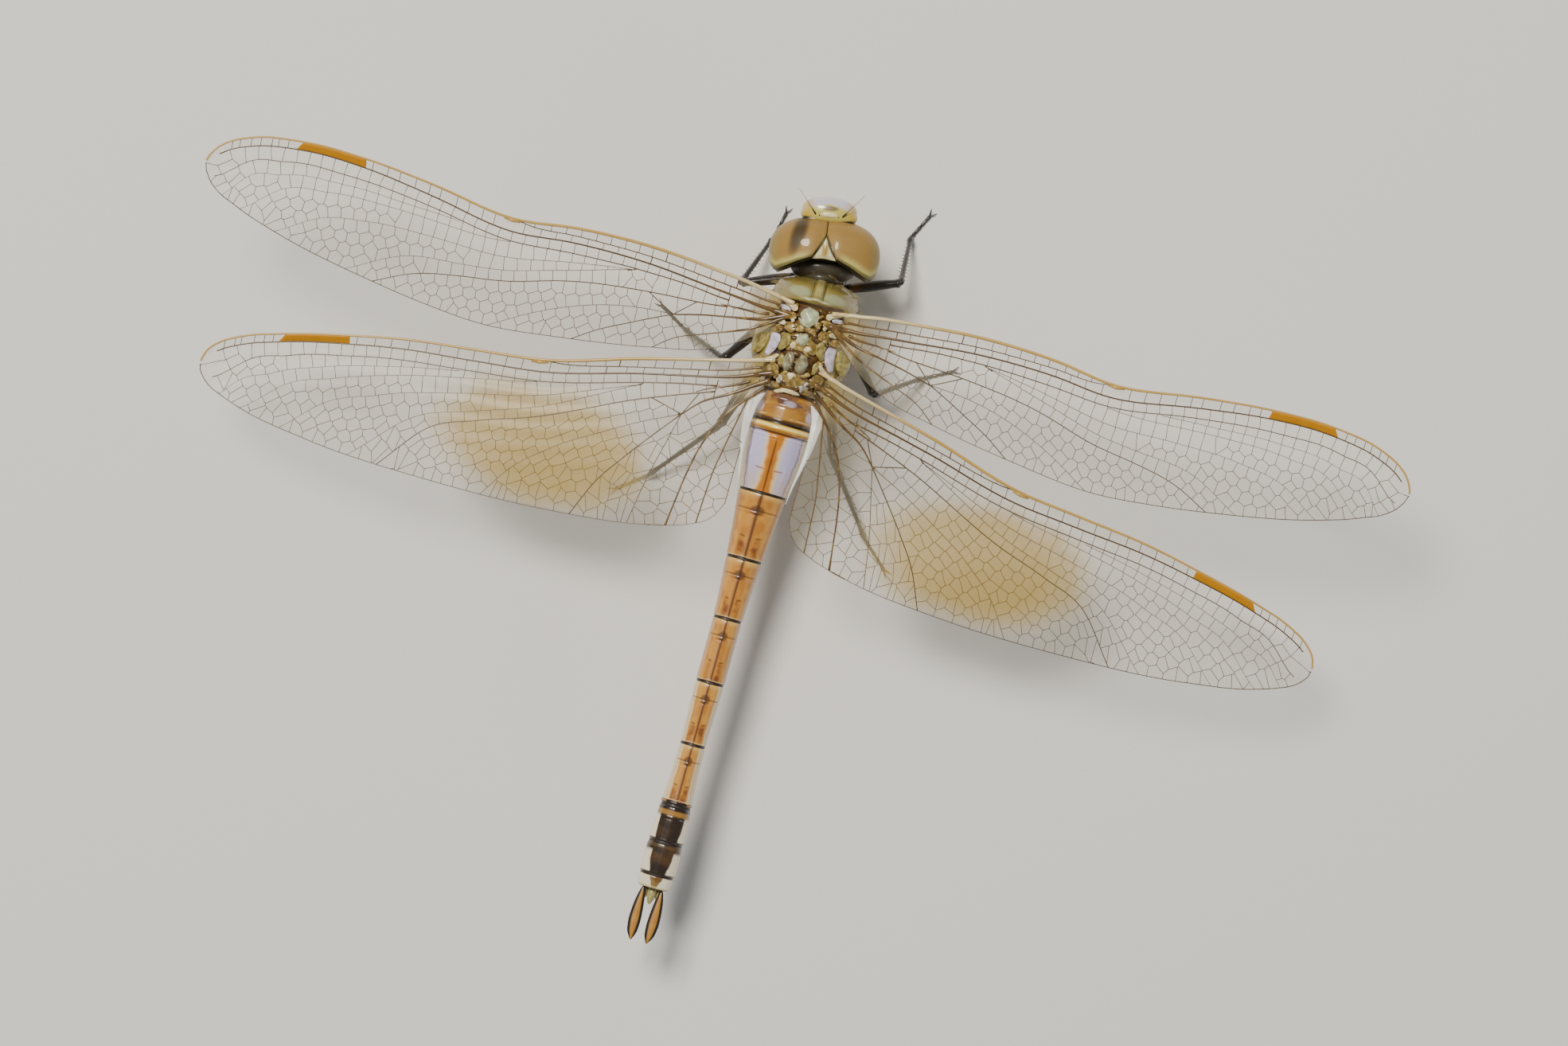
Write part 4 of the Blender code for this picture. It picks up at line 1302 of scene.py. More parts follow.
class DRAGONFLY_OT_thorax(Operator):
    """Make the thorax, its collar, and the small plates that carry the wings"""

    bl_idname = "dragonfly.thorax"
    bl_label = "Thorax"

    def execute(self, context):
        shell = context.scene.dragonfly_shell
        skin = Skin(thorax_surface())
        skin.piece("thorax_shell", paint_thorax(shell), "thorax", ["thorax"])

        y, fullness = ends_closed(6.25, 5.5, 30, 4.0)
        points = trunk_rings(stations_of("prothorax"), y, 120, 0.0, fullness)
        x, _, z = np.moveaxis(points, -1, 0)
        skin = Skin(pushed(points, 0.18 * hump(np.abs(x), 0.8, 0.5) * ease(10.0, 11.0, z)))
        for _, sign in SIDES:
            skin.ball((sign * 0.62, 5.95, 11.0), (0.6, 0.22, 0.42), 2.2, yaw=sign * -10)
            skin.ball((sign * 1.55, 6.0, 8.6), (0.5, 0.5, 1.5), 2.2)
        material = paint_plate("collar_olive", (84, 70, 40), shell.dark, (116, 98, 58))
        skin.piece("collar", material, "thorax", ["prothorax"])

        finishes = {
            "cream": (shell.cream, (206, 160, 92), (252, 248, 226), 0.16),
            "amber": ((154, 128, 66), (72, 54, 28), (212, 188, 122), 0.18),
            "brown": ((96, 70, 40), (44, 32, 20), (150, 112, 60), 0.2),
            "olive": ((164, 150, 82), (108, 86, 40), (198, 188, 124), 0.22),
            "sheen": (shell.sheen, (156, 158, 116), (216, 220, 194), 0.2),
            "wax": ((150, 144, 112), (112, 98, 62), (190, 188, 164), 0.1),
            "lavender": ((216, 208, 226), (176, 156, 160), (240, 236, 246), 0.2),
            "white": ((210, 206, 190), (160, 148, 122), (236, 234, 224), 0.2),
        }
        skins = {name: Skin() for name in finishes}
        pairs = [(row, sign) for row in BACK_PLATES for sign in (1, -1)]
        for (name, sink, rise, outline), sign in pairs + [(row, 1) for row in MIDDLE_PLATES]:
            outline = np.array(outline) * (sign, 1)
            skins[name].pad(outline, lambda x, y: plate_floor(x, y) - sink * 0.7, rise)
        rng = np.random.default_rng(context.scene.dragonfly_wings.seed)
        for _ in range(ROUND_BITS):
            x, y = rng.uniform(-2.7, 2.7), rng.uniform(-4.0, 3.0)
            half = (rng.uniform(0.22, 0.5), rng.uniform(0.12, 0.26), 0.3)
            name = rng.choice(("amber", "brown"))
            centre = (x, y, float(plate_floor(x, y)) - 0.4)
            skins[name].ball(centre, half, 2.2, yaw=rng.uniform(-50, 50), rows=10, columns=16)
        for name, (base, dark, pale, rough) in finishes.items():
            material = paint_plate(f"back_{name}", base, dark, pale, rough, 0.9, 2.6)
            skins[name].piece(f"back_plates_{name}", material, "thorax")

        straw = paint_plate("hair_straw", (196, 180, 132), (120, 100, 60), None, 0.5)
        hairs = (*thorax_hairs(THORAX_HAIRS, rng), (0, -0.35, 0), (0.35, 0.8))
        hair_piece("thorax_hairs", straw, "thorax", *hairs, rng, head=False)
        return {"FINISHED"}


# ---- abdomen ------------------------------------------------------------------------------

SEGMENTS = [f"abdomen_{number:02d}" for number in range(1, 11)]
RING_COLUMNS = 160


def segment_surface(number, stations, front, back):
    """One ring of the abdomen, tucked in at its front and lipped at its back.

    The radius is the trunk's, with a carina, a low keel on top, a ridge along each side and a
    fold on each side below, all bell curves of the place along or round the segment.
    """
    length = front - back
    rows = max(36, int(length * 20))
    share = ease(0.0, 1.0, np.linspace(0.0, 1.0, rows)) * 0.5 + np.linspace(0.0, 1.0, rows) * 0.5
    y = front - length * share
    points = trunk_rings(stations, y, RING_COLUMNS)
    turn = bearings(RING_COLUMNS)
    side = np.abs(np.mod(turn - math.pi / 2 + math.pi, 2 * math.pi) - math.pi)
    way, far = share[:, None] * length, (1 - share[:, None]) * length
    carina = {1: 0.62, 2: 0.19}.get(number, 0.3)
    relief = -0.12 * np.exp(-way / 0.09) - 0.2 * np.exp(-far / 0.035) + 0.02 * hump(far, 0.12, 0.12)
    relief = relief + 0.035 * hump(side, 0.0, 0.12) + 0.04 * hump(side, 1.95, 0.08)
    relief -= 0.16 * hump(side, 2.6, 0.14)
    if 2 <= number <= 8:
        relief += 0.035 * hump(way, carina * length, 0.07) * ease(2.2, 1.7, side)
        relief -= 0.02 * hump(way, carina * length + 0.16, 0.09)
    if number == 1:
        relief += 0.12 * hump(way, 0.5, 0.22) * ease(1.6, 0.8, side)
        relief -= 0.1 * hump(way, 0.95, 0.18) * ease(1.8, 1.2, side)
    if number == 2:
        relief += 0.14 * hump(way, 0.42, 0.3) * ease(2.2, 1.7, side)
        relief -= 0.1 * hump(way, 0.95, 0.1) * ease(2.0, 1.6, side)
    return pushed(points, relief)


class Round:
    """Values that the abdomen's patterns are drawn in, for one segment's paint.

    over is 0 along the back, 1 at the sides and 2 below; along and left run in millimetres
    from the segment's front and back ends.
    """

    def __init__(self, paint, length):
        u, v = paint.shell()
        around = (u + 0.25).math("FRACT") - 0.5
        self.signed = around * 4.0
        self.over = abs(self.signed)
        self.along = v * length
        self.left = (1.0 - v) * length
        self.share = v
        self.point = paint.millimetres()
        self.cloud = paint.noise(self.point, 0.9, 4.0)
        self.fine = paint.noise(self.point, 10.0, 2.0)


def paint_middle(shell, number, length):
    """Segments 3 to 7: ochre back, dark middle line, carina and tick marks, cream flanks."""
    paint = Paint(f"abdomen_{number:02d}_ochre", (0.6, 0.14))
    r = Round(paint, length)
    flank = 0.84 - 0.07 * number
    over = r.over + r.cloud * 0.24 - 0.12
    carina = r.share.near(0.3, 0.05 / length, 0.09 / length) * over.rise(0.8, 0.55)
    diamond = oval(r.signed, r.along, (0.0, 0.3 * length), (0.2, 0.36), 0.6)
    tick = (r.along + over * 0.3).near(0.65 * length, 0.05, 0.14)
    tick = tick * over.near(0.24, 0.1, 0.14)
    behind_tick = r.share.rise(0.62, 0.7) * over.near(0.24, 0.12, 0.16)
    pale = (212, 168, 118) if number < 6 else (240, 220, 176)
    mottle = r.cloud.rise(0.42, 0.62)
    last = 0.5 if number == 7 else 0.13
    rear = r.left.rise(last + 0.06, last)
    front = r.along.rise(0.1, 0.05)
    colour = paint.layers(
        shell.ochre,
        (mottle * 0.55, (172, 100, 34)),
        (r.along.rise(0.9, 0.15) * 0.6, (236, 200, 116)),
        # painted highlight: a pale golden band along each side of the back
        (over.near(flank * 0.72, 0.08, 0.16) * 0.35, (230, 184, 96)),
        (behind_tick.most(over.near(0.0, 0.06, 0.14)) * 0.5, (158, 92, 34)),
        (behind_tick * mottle * 0.85, (122, 66, 28)),
        (over.rise(flank - 0.04, flank + 0.14) * 0.92, pale),
        (over.near(flank + 0.2, 0.03, 0.09) * 0.5, (170, 118, 82)),
        (over.rise(flank + 0.26, flank + 0.42) * (0.5 - 0.06 * number), shell.lavender),
        (r.over.rise(1.15, 1.5) * 0.8, (206, 170, 110)),
        (r.over.rise(1.6, 1.9) * 0.75, (150, 112, 62)),
        (diamond * 0.75, (80, 48, 22)),
        (carina * 0.7, (92, 56, 26)),
        (tick * 0.9, (92, 50, 22)),
        (r.over.near(0.0, 0.035, 0.05) * 0.8, (70, 42, 22)),
        (r.left.near(last + 0.14, 0.04, 0.06) * 0.6, (244, 226, 170)),
        (rear.most(front), shell.dark),
    )
    if number == 7:
        amber = r.over.near(0.62, 0.16, 0.12) * r.left.near(0.36, 0.1, 0.1)
        colour = paint.blend(amber * 0.85, colour, (188, 130, 46))
    return paint.finish(colour, 0.26 + r.cloud * 0.14, r.fine, 0.01)


def paint_first(_, length):
    """Segment 1: ochre, mottled brown and purple in front, with lavender spots of painted sheen."""
    paint = Paint("abdomen_01_ochre", (0.65, 0.1))
    r = Round(paint, length)
    mottle = r.cloud.rise(0.4, 0.6)
    # painted sheen: lavender-white spots on the flanks; the spot near the middle line is a painted
    # highlight
    spots = oval(r.over, r.along, (0.62, 1.45), (0.13, 0.34), 0.7)
    middle = oval(r.signed, r.along, (-0.07, 0.85), (0.12, 0.2), 0.9)
    line = (r.left + r.over * r.over * 0.1).near(0.6, 0.03, 0.07)
    colour = paint.layers(
        (184, 134, 54),
        (mottle * 0.5, (150, 96, 38)),
        (mottle * r.along.rise(1.5, 0.7) * 0.85, (98, 70, 62)),
        (spots.most(middle) * 0.7, (222, 212, 232)),
        (r.over.near(0.78, 0.04, 0.1) * 0.7, (232, 202, 108)),
        (r.over.rise(0.85, 1.2) * 0.8, (214, 198, 150)),
        (line * r.cloud.rise(0.42, 0.6) * r.over.rise(0.8, 0.6), (248, 224, 160)),
        (r.left.rise(0.5, 0.32), (84, 56, 22)),
        (r.along.rise(0.3, 0.1), (112, 78, 36)),
    )
    return paint.finish(colour, 0.2 + r.cloud * 0.14, r.fine, 0.01)


def paint_second(shell, length):
    """Segment 2: yellow collar with a painted highlight on top and painted shade behind, dark carina,
    lavender saddle cut by an ochre stripe.
    """
    paint = Paint("abdomen_02_saddle", (0.65, 0.1))
    r = Round(paint, length)
    over = r.over + r.cloud * 0.14 - 0.07
    collar = (r.along + over.rise(0.12, 0.3) * 0.08).rise(1.08, 0.98)
    carina = r.along.near(1.05, 0.08, 0.07)
    waist = r.share - 0.55
    narrow = waist * waist * 0.45 + 0.1
    stem = over.rise(narrow + 0.05, narrow - 0.04)
    arm = (r.along + over * 0.9).rise(1.5, 1.3) * over.rise(0.42, 0.25)
    tick = (r.along + over * 0.25).near(0.64 * length, 0.05, 0.1)
    tick = tick * over.near(0.2, 0.1, 0.07)
    colour = paint.layers(
        (200, 194, 232),
        (r.cloud * 0.4, (214, 204, 226)),
        ((r.along + r.cloud).rise(3.6, 5.4) * 0.55, (212, 188, 164)),
        (over.rise(narrow + 0.15, narrow) * 0.9, (244, 212, 140)),
        (over.near(0.57, 0.02, 0.05) * 0.75, (138, 92, 92)),
        (over.rise(0.58, 0.66), (234, 214, 180)),
        (r.over.rise(1.2, 1.6) * 0.75, (186, 152, 92)),
        (stem.most(arm), (200, 126, 24)),
        (r.over.near(0.0, 0.012, 0.03) * r.along.rise(1.3, 2.0) * 0.9, (70, 42, 20)),
        (over.near(0.0, 0.02, 0.09) * r.along.rise(1.6, 3.0) * 0.6, (116, 66, 24)),
        (tick * 0.9, (170, 100, 40)),
        (collar, (234, 192, 70)),
        # painted light on the raised collar: its ochre darkened towards the back as painted shade, and a
        # bright painted highlight along its top
        (collar * (r.along + r.cloud * 0.2).rise(0.62, 0.95) * 0.9, (164, 104, 30)),
        (collar * r.along.near(0.42, 0.12, 0.2) * 0.9, (254, 240, 156)),
        (carina * r.over.rise(1.3, 1.0) * 0.9, (66, 42, 16)),
        (r.left.near(0.2, 0.03, 0.06) * over.rise(0.4, 0.6) * 0.7, (252, 240, 200)),
        (r.left.rise(0.17, 0.12), shell.dark),
        (r.along.rise(0.12, 0.04), (84, 56, 22)),
    )
    return paint.finish(colour, 0.2 + r.cloud * 0.14, r.fine, 0.01)


def paint_last(shell, number, length):
    """Segments 8 to 10: brown-black in the middle with cream patches at the sides, and painted sheen
    across the front of segment 9.
    """
    paint = Paint(f"abdomen_{number:02d}_dark", (0.7, 0.1))
    r = Round(paint, length)
    edge = {8: 0.5, 9: 0.36, 10: 0.16}[number] - r.share * 0.16 + r.cloud * 0.2 - 0.05
    start, stop = {8: (0.95, 0.28), 9: (0.8, 0.2), 10: (0.1, 0.1)}[number]
    pale = r.over.rise(edge, edge + 0.07) * r.left.rise(stop, stop + 0.12)
    pale = pale * (r.along + r.cloud * 0.3).rise(start, start + 0.3)
    front = r.along.near(0.7, 0.2, 0.16) * (1.0 if number == 8 else 0.0)
    # painted sheen: a lighter brownish-grey band across the front of segment 9, over its dark brown
    ring = r.along.near(0.36, 0.16, 0.14) * (1.0 if number == 9 else 0.0)
    colour = paint.layers(
        (150, 118, 66) if number == 10 else (46, 33, 20),
        (r.cloud.rise(0.42, 0.65) * 0.7, (92, 64, 30)),
        (front * 0.85, (176, 130, 56)),
        (ring * 0.6, (104, 80, 48)),
        (pale * r.over.rise(1.25, 1.05), (244, 234, 204)),
        (r.over.rise(1.35, 1.6) * 0.6, (140, 104, 54)),
        (r.left.rise(0.14, 0.08).most(r.along.rise(0.1, 0.05)), shell.dark),
    )
    if number == 8:
        colour = paint.blend(r.along.rise(0.42, 0.32), colour, shell.dark)
    if number == 10:
        colour = paint.blend(r.left.near(0.24, 0.06, 0.08) * 0.8, colour, (206, 198, 132))
    return paint.finish(colour, 0.24 + r.cloud * 0.14, r.fine, 0.004)


class DRAGONFLY_OT_abdomen(Operator):
    """Make the ten rings of the abdomen and the dark skin in their joints"""

    bl_idname = "dragonfly.abdomen"
    bl_label = "Abdomen"

    def execute(self, context):
        shell = context.scene.dragonfly_shell
        stations = stations_of(*SEGMENTS)
        joints = Skin()
        for number, node in enumerate(SEGMENTS, 1):
            low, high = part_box(node)
            front, back = (np.array((high.y, low.y)) / MM) - ORIGIN[1]
            length = front - back
            if number <= 2:
                material = (paint_first, paint_second)[number - 1](shell, length)
            elif number <= 7:
                material = paint_middle(shell, number, length)
            else:
                material = paint_last(shell, number, length)
            skin = Skin(segment_surface(number, stations, front, back))
            skin.piece(f"segment_{number:02d}", material, "abdomen", [node])
            way = np.linspace(-1.0, 1.0, 9)
            joint = trunk_rings(stations, front - 0.3 * way, 96, 0.0, 0.95 - 0.03 * np.abs(way))
            joints.grid(joint)
        material = paint_plate("joint_black", shell.dark, (20, 14, 10), (70, 46, 28), 0.45)
        joints.piece("abdomen_joints", material, "abdomen")
        return {"FINISHED"}


# a cercus from front to rear: distance forward, how far out its middle lies, and its half width
CERCUS = (
    (-47.2, 0.78, 0.26), (-48.2, 0.8, 0.38), (-49.4, 0.8, 0.49), (-50.5, 0.78, 0.51),
    (-51.4, 0.73, 0.38), (-51.82, 0.68, 0.14),
)
CERCUS_HEIGHT = 8.25


def paint_cercus():
    """Orange-brown leaf, black along its edges and its middle rib."""
    paint = Paint("cercus_brown", (0.4, 0.2))
    point = paint.millimetres()
    u, v = paint.shell()
    cloud = paint.noise(point, 1.6, 3.0)
    edge = abs((u * 2.0).math("FRACT") - 0.5) * 2.0
    colour = paint.layers(
        (198, 148, 58),
        (cloud * 0.7, (156, 92, 34)),
        (v.rise(0.25, 0.05) * 0.8, (96, 62, 32)),
        ((edge + abs(v - 0.55) * 0.4).rise(0.24, 0.46), (38, 28, 18)),
        (v.rise(0.9, 0.98) * 0.8, (48, 28, 16)),
    )
    return paint.finish(colour, 0.36, paint.noise(point, 9.0), 0.012)


class DRAGONFLY_OT_tail(Operator):
    """Make the two leaf-shaped cerci, the plate between them and the egg blade"""

    bl_idname = "dragonfly.tail"
    bl_label = "Tail"

    def execute(self, context):
        shell = context.scene.dragonfly_shell
        material = paint_cercus()
        turn = bearings(48)
        for side, sign in SIDES:
            y, fullness = ends_closed(CERCUS[0][0], CERCUS[-1][0], 60, 3.0)
            out, half = np.moveaxis(smooth(CERCUS, y), -1, 0)
            half = (half * fullness)[:, None]
            x = half * power_of(np.cos(turn), 0.9)
            rib = 0.1 * hump(np.cos(turn), 0.0, 0.3) * np.sign(np.sin(turn))
            z = 0.24 * fullness[:, None] * (np.sin(turn) * 0.75 + rib)
            skin = Skin(sheet(sign * out[:, None] + x, y[:, None], CERCUS_HEIGHT + z))
            skin.piece(f"cercus_{side}_leaf", material, "cercus", [f"cercus_{side}"])

        skin = Skin()
        skin.ball((0.0, -47.6, 8.0), (0.36, 1.0, 0.34), 1.7, pitch=-6)
        skin.pair((0.56, -47.6, 7.5), (0.34, 0.8, 0.34), 1.8, yaw=12)
        olive = paint_plate("tail_olive", (176, 164, 104), (96, 80, 44), shell.cream)
        skin.piece("tail_plates", olive, "cercus")
        dark = paint_plate("tail_brown", (92, 58, 32), shell.dark, (190, 150, 96))

        y, fullness = ends_closed(-41.1, -46.5, 60, 3.0)
        skin = Skin(trunk_rings(stations_of("ovipositor"), y, 48, 0.3, fullness))
        way = shares(20)
        for _, sign in SIDES:
            start, end = np.array((sign * 0.16, -46.2, 6.2)), np.array((sign * 0.3, -47.2, 6.35))
            skin.tubes([start + (end - start) * way], np.linspace(0.09, 0.03, 20)[None], 10)
        skin.piece("egg_blade", dark, "cercus", ["ovipositor"])
        return {"FINISHED"}


# ---- wings --------------------------------------------------------------------------------

WING_ROOT = 2.75
# height of the root, rise to the tip in degrees, the nodus and the ends of the pterostigma
WINGS = {
    "forewing": (13.35, 3.0, 25.6, (38.6, 44.2)),
    "hindwing": (12.85, -4.0, 20.5, (36.5, 42.0)),
}
FILM_DEPTH = 0.03
# veins that keep near the front edge: how far out, and how far behind that edge
RAILS = {
    "forewing": {
        "Sc": ((2.75, 0.6), (5, 0.8), (8, 0.85), (14, 0.8), (20, 0.65), (24, 0.35), (25.6, 0.0)),
        "R": (
            (2.75, 1.2), (5, 1.45), (8, 1.5), (14, 1.4), (20, 1.25), (25.6, 1.05),
            (33, 0.88), (38.6, 0.72), (44.2, 0.68), (48, 0.72), (50.4, 0.72),
        ),
    },
    "hindwing": {
        "Sc": ((2.75, 0.6), (5, 0.8), (10, 0.8), (15, 0.6), (19, 0.25), (20.5, 0.0)),
        "R": (
            (2.75, 1.2), (5, 1.4), (10, 1.35), (15, 1.2), (20.5, 1.0),
            (28, 0.9), (36.5, 0.72), (42, 0.68), (45, 0.72), (47, 0.72),
        ),
    },
}
# the other long veins: how far out, and the share of the way from front edge to back edge
RAYS = {
    "forewing": {
        "RP1": (
            (6.9, 0.33), (9, 0.285), (14, 0.25), (20, 0.23), (26, 0.2), (33, 0.185),
            (40, 0.2), (45, 0.25), (48.5, 0.42), (50.3, 0.8),
        ),
        "IR1": ((30, 0.2), (34, 0.24), (40, 0.29), (45, 0.4), (48, 0.62), (49.3, 1.0)),
        "RP2": ((25.5, 0.21), (30, 0.27), (36, 0.33), (41, 0.41), (45, 0.58), (47.6, 1.0)),
        "IR2": ((15, 0.26), (20, 0.31), (26, 0.36), (32, 0.43), (37, 0.52), (41.5, 0.7), (44.4, 1.0)),
        "RP3": ((15.5, 0.27), (19, 0.36), (24, 0.45), (29, 0.55), (34, 0.7), (38, 1.0)),
        "MA": (
            (6.9, 0.42), (10, 0.43), (14, 0.44), (19, 0.47), (24, 0.55), (29, 0.66),
            (33, 0.82), (35.6, 1.0),
        ),
        "MP": ((11, 0.62), (13.5, 0.61), (16, 0.63), (20, 0.73), (23, 0.85), (25.6, 1.0)),
        "CuP": ((2.75, 0.72), (5, 0.6), (8, 0.56), (11, 0.62)),
        "CuA": ((11, 0.62), (14, 0.76), (17, 0.9), (18.6, 1.0)),
        "A": ((2.75, 0.86), (5, 0.8), (8, 0.8), (10.5, 0.88), (12, 1.0)),
    },
    "hindwing": {
        "RP1": (
            (6, 0.155), (9, 0.145), (14, 0.15), (20.5, 0.15), (28, 0.16), (36, 0.18),
            (41, 0.24), (44.5, 0.38), (46.8, 0.8),
        ),
        "IR1": ((27, 0.17), (32, 0.22), (38, 0.31), (42, 0.46), (45, 0.75), (45.9, 1.0)),
        "RP2": ((20.5, 0.155), (26, 0.21), (32, 0.29), (37, 0.4), (41, 0.58), (43.9, 1.0)),
        "IR2": ((12, 0.16), (16, 0.2), (21, 0.26), (27, 0.34), (33, 0.47), (37.5, 0.66), (40.3, 1.0)),
        "RP3": ((12.5, 0.165), (16, 0.24), (20, 0.33), (25, 0.44), (30, 0.6), (34.2, 1.0)),
        "MA": (
            (6, 0.19), (9, 0.215), (12, 0.25), (16, 0.32), (20, 0.4), (24.5, 0.5),
            (28.5, 0.65), (31.6, 1.0),
        ),
        "MP": ((8.2, 0.33), (11, 0.38), (14, 0.46), (18, 0.6), (21, 0.8), (22.6, 1.0)),
        "CuP": ((3.2, 0.17), (5, 0.21), (7, 0.26), (8.2, 0.33)),
        "CuA": ((8.2, 0.33), (10, 0.46), (12, 0.62), (13.8, 0.8), (15, 1.0)),
        "CuB": ((8.2, 0.33), (8.8, 0.5), (9.6, 0.74), (10.2, 1.0)),
        "A": ((3.2, 0.24), (4.5, 0.32), (5.6, 0.45), (6.4, 0.65), (6.8, 0.85), (7, 1.0)),
        "A2": ((3.25, 0.25), (3.6, 0.38), (4.1, 0.56), (4.5, 0.78), (4.65, 1.0)),
    },
}
# straight veins near the base, each between two places given like those of RAYS
BARS = {
    "forewing": (
        ((6.9, 0.25), (6.9, 0.57)),
        ((9.4, 0.43), (11.0, 0.62)),
        ((13.4, 0.44), (11.0, 0.62)),
        ((14.9, 0.25), (15.6, 0.28)),
    ),
    "hindwing": (
        ((6.0, 0.12), (6.0, 0.235)),
        ((7.2, 0.2), (8.2, 0.33)),
        ((11.0, 0.235), (8.2, 0.33)),
        ((11.9, 0.15), (12.6, 0.17)),
    ),
}
# the front strip's cross-veins: first place, last place, how many, and between which veins
LADDERS = {
    "forewing": (
        (4.0, 25.0, 18, "C", "Sc"),
        (4.4, 24.8, 16, "Sc", "R"),
        (27.2, 37.9, 10, "C", "R"),
        (45.1, 49.6, 7, "C", "R"),
    ),
    "hindwing": (
        (4.1, 19.8, 12, "C", "Sc"),
        (4.6, 19.6, 11, "Sc", "R"),
        (21.9, 35.8, 11, "C", "R"),
        (42.8, 46.6, 6, "C", "R"),
    ),
}
VEIN_SIZES = {"R": 3.0, "Sc": 1.9, "RP1": 2.0, "MA": 1.9, "CuP": 2.3, "CuA": 1.8, "A": 1.6}


class Wing:
    """One wing's outline, slope and folds, and the veins on it.

    A place on it is s, the distance out from the body's middle in mm, with either y, the
    distance forward, or t, the share of the way from the front edge to the back edge.
    """

    def __init__(self, name, side, sign):
        self.name, self.node, self.sign = name, f"{name}_{side}", sign
        self.height, rise, self.nodus, self.stigma = WINGS[name]
        self.slope = math.tan(math.radians(rise))
        outline = self.outline()
        low, high = outline[:, 0].min() + 0.02, outline[:, 0].max() - 0.004
        share = np.sin(np.linspace(0.0, 1.0, 400) * math.pi / 2)
        self.s = np.maximum(low, WING_ROOT) + (high - np.maximum(low, WING_ROOT)) * share
        first, second = outline[:-1], outline[1:]
        run = second[:, 0] - first[:, 0]
        run = np.where(np.abs(run) < 1e-9, 1e-9, run)
        share = (self.s[:, None] - first[:, 0]) / run
        y = first[:, 1] + share * (second[:, 1] - first[:, 1])
        crossed = (share >= 0) & (share <= 1)
        self.front = np.where(crossed, y, -1e9).max(axis=1)
        self.back = np.where(crossed, y, 1e9).min(axis=1)

    def outline(self):
        """The upper corners of the CAD plate in order of bearing, joined by a smooth curve."""
        points = node_points(self.node) * (self.sign, 1, 1)
        plane = self.height + self.slope * (points[:, 0] - WING_ROOT)
        points = np.unique(np.round(points[points[:, 2] > plane][:, :2], 3), axis=0)
        away = points - points.mean(axis=0)
        order = np.argsort(np.mod(np.arctan2(away[:, 1], -away[:, 0]), 2 * math.pi))
        points = points[order]
        return along(np.vstack((points, points[:1])), 1200)

    def edges(self, s):
        return np.interp(s, self.s, self.front), np.interp(s, self.s, self.back)

    def share(self, s, y):
        front, back = self.edges(s)
        return np.clip((front - y) / (front - back), 0.0, 1.0)

    def plan(self, s, t):
        """Places in plan, as s and y."""
        front, back = self.edges(s)
        return np.stack(np.broadcast_arrays(s, front - t * (front - back)), axis=-1)

    def points(self, s, t, lift=0.0):
        """Body millimetres: the flat wing, plus folds that run along it and fade to the rear.

        Fold = 0.2 cos(pi d / 0.75) e^(-d / 3), d being the distance behind the front edge.
        """
        s, y = np.moveaxis(self.plan(s, t), -1, 0)
        behind = self.edges(s)[0] - y
        fold = 0.2 * np.cos(math.pi * behind / 0.75) * np.exp(-behind / 3)
        fold = fold * ease(self.s[0] - 0.5, 5.5, s)
        z = self.height + self.slope * (s - WING_ROOT) + fold + lift
        return np.stack((self.sign * s, y, z), axis=-1)

    def vein(self, name, count=60):
        """s and t along a vein that has a table above, or along the front edge."""
        if name == "C":
            return self.s, 0.0 * self.s
        table = np.array(RAILS[self.name].get(name) or RAYS[self.name][name], dtype=float)
        s = np.linspace(max(table[0, 0], self.s[0]), min(table[-1, 0], self.s[-1]), count)
        value = smooth(table, s)[:, 0]
        if name in RAILS[self.name]:
            front, back = self.edges(s)
            value = value / (front - back)
        return s, np.clip(value, 0.0, 1.0)

    def at(self, name, s):
        """t of a vein at the places s."""
        return np.interp(s, *self.vein(name, 200))


def crossings(start, end, first, second):
    """How far along start to end each piece first to second is met; 9 where it isn't."""
    a, b = start[:, None], (end - start)[:, None]
    c, d = first[None], (second - first)[None]
    cross = b[..., 0] * d[..., 1] - b[..., 1] * d[..., 0]
    cross = np.where(np.abs(cross) < 1e-12, 1e-12, cross)
    gap = c - a
    far = (gap[..., 0] * d[..., 1] - gap[..., 1] * d[..., 0]) / cross
    other = (gap[..., 0] * b[..., 1] - gap[..., 1] * b[..., 0]) / cross
    met = (far > 1e-6) & (far <= 1) & (other >= 0) & (other <= 1)
    return np.where(met, far, 9.0)


def nearest(points, first, second):
    """The nearest place to each point on any of the pieces first to second."""
    run = second - first
    gap = points[:, None] - first[None]
    share = np.clip((gap * run).sum(-1) / ((run**2).sum(-1) + 1e-12), 0.0, 1.0)
    place_on = first[None] + share[..., None] * run[None]
    closest = ((points[:, None] - place_on) ** 2).sum(-1).argmin(axis=1)
    return place_on[np.arange(len(points)), closest]


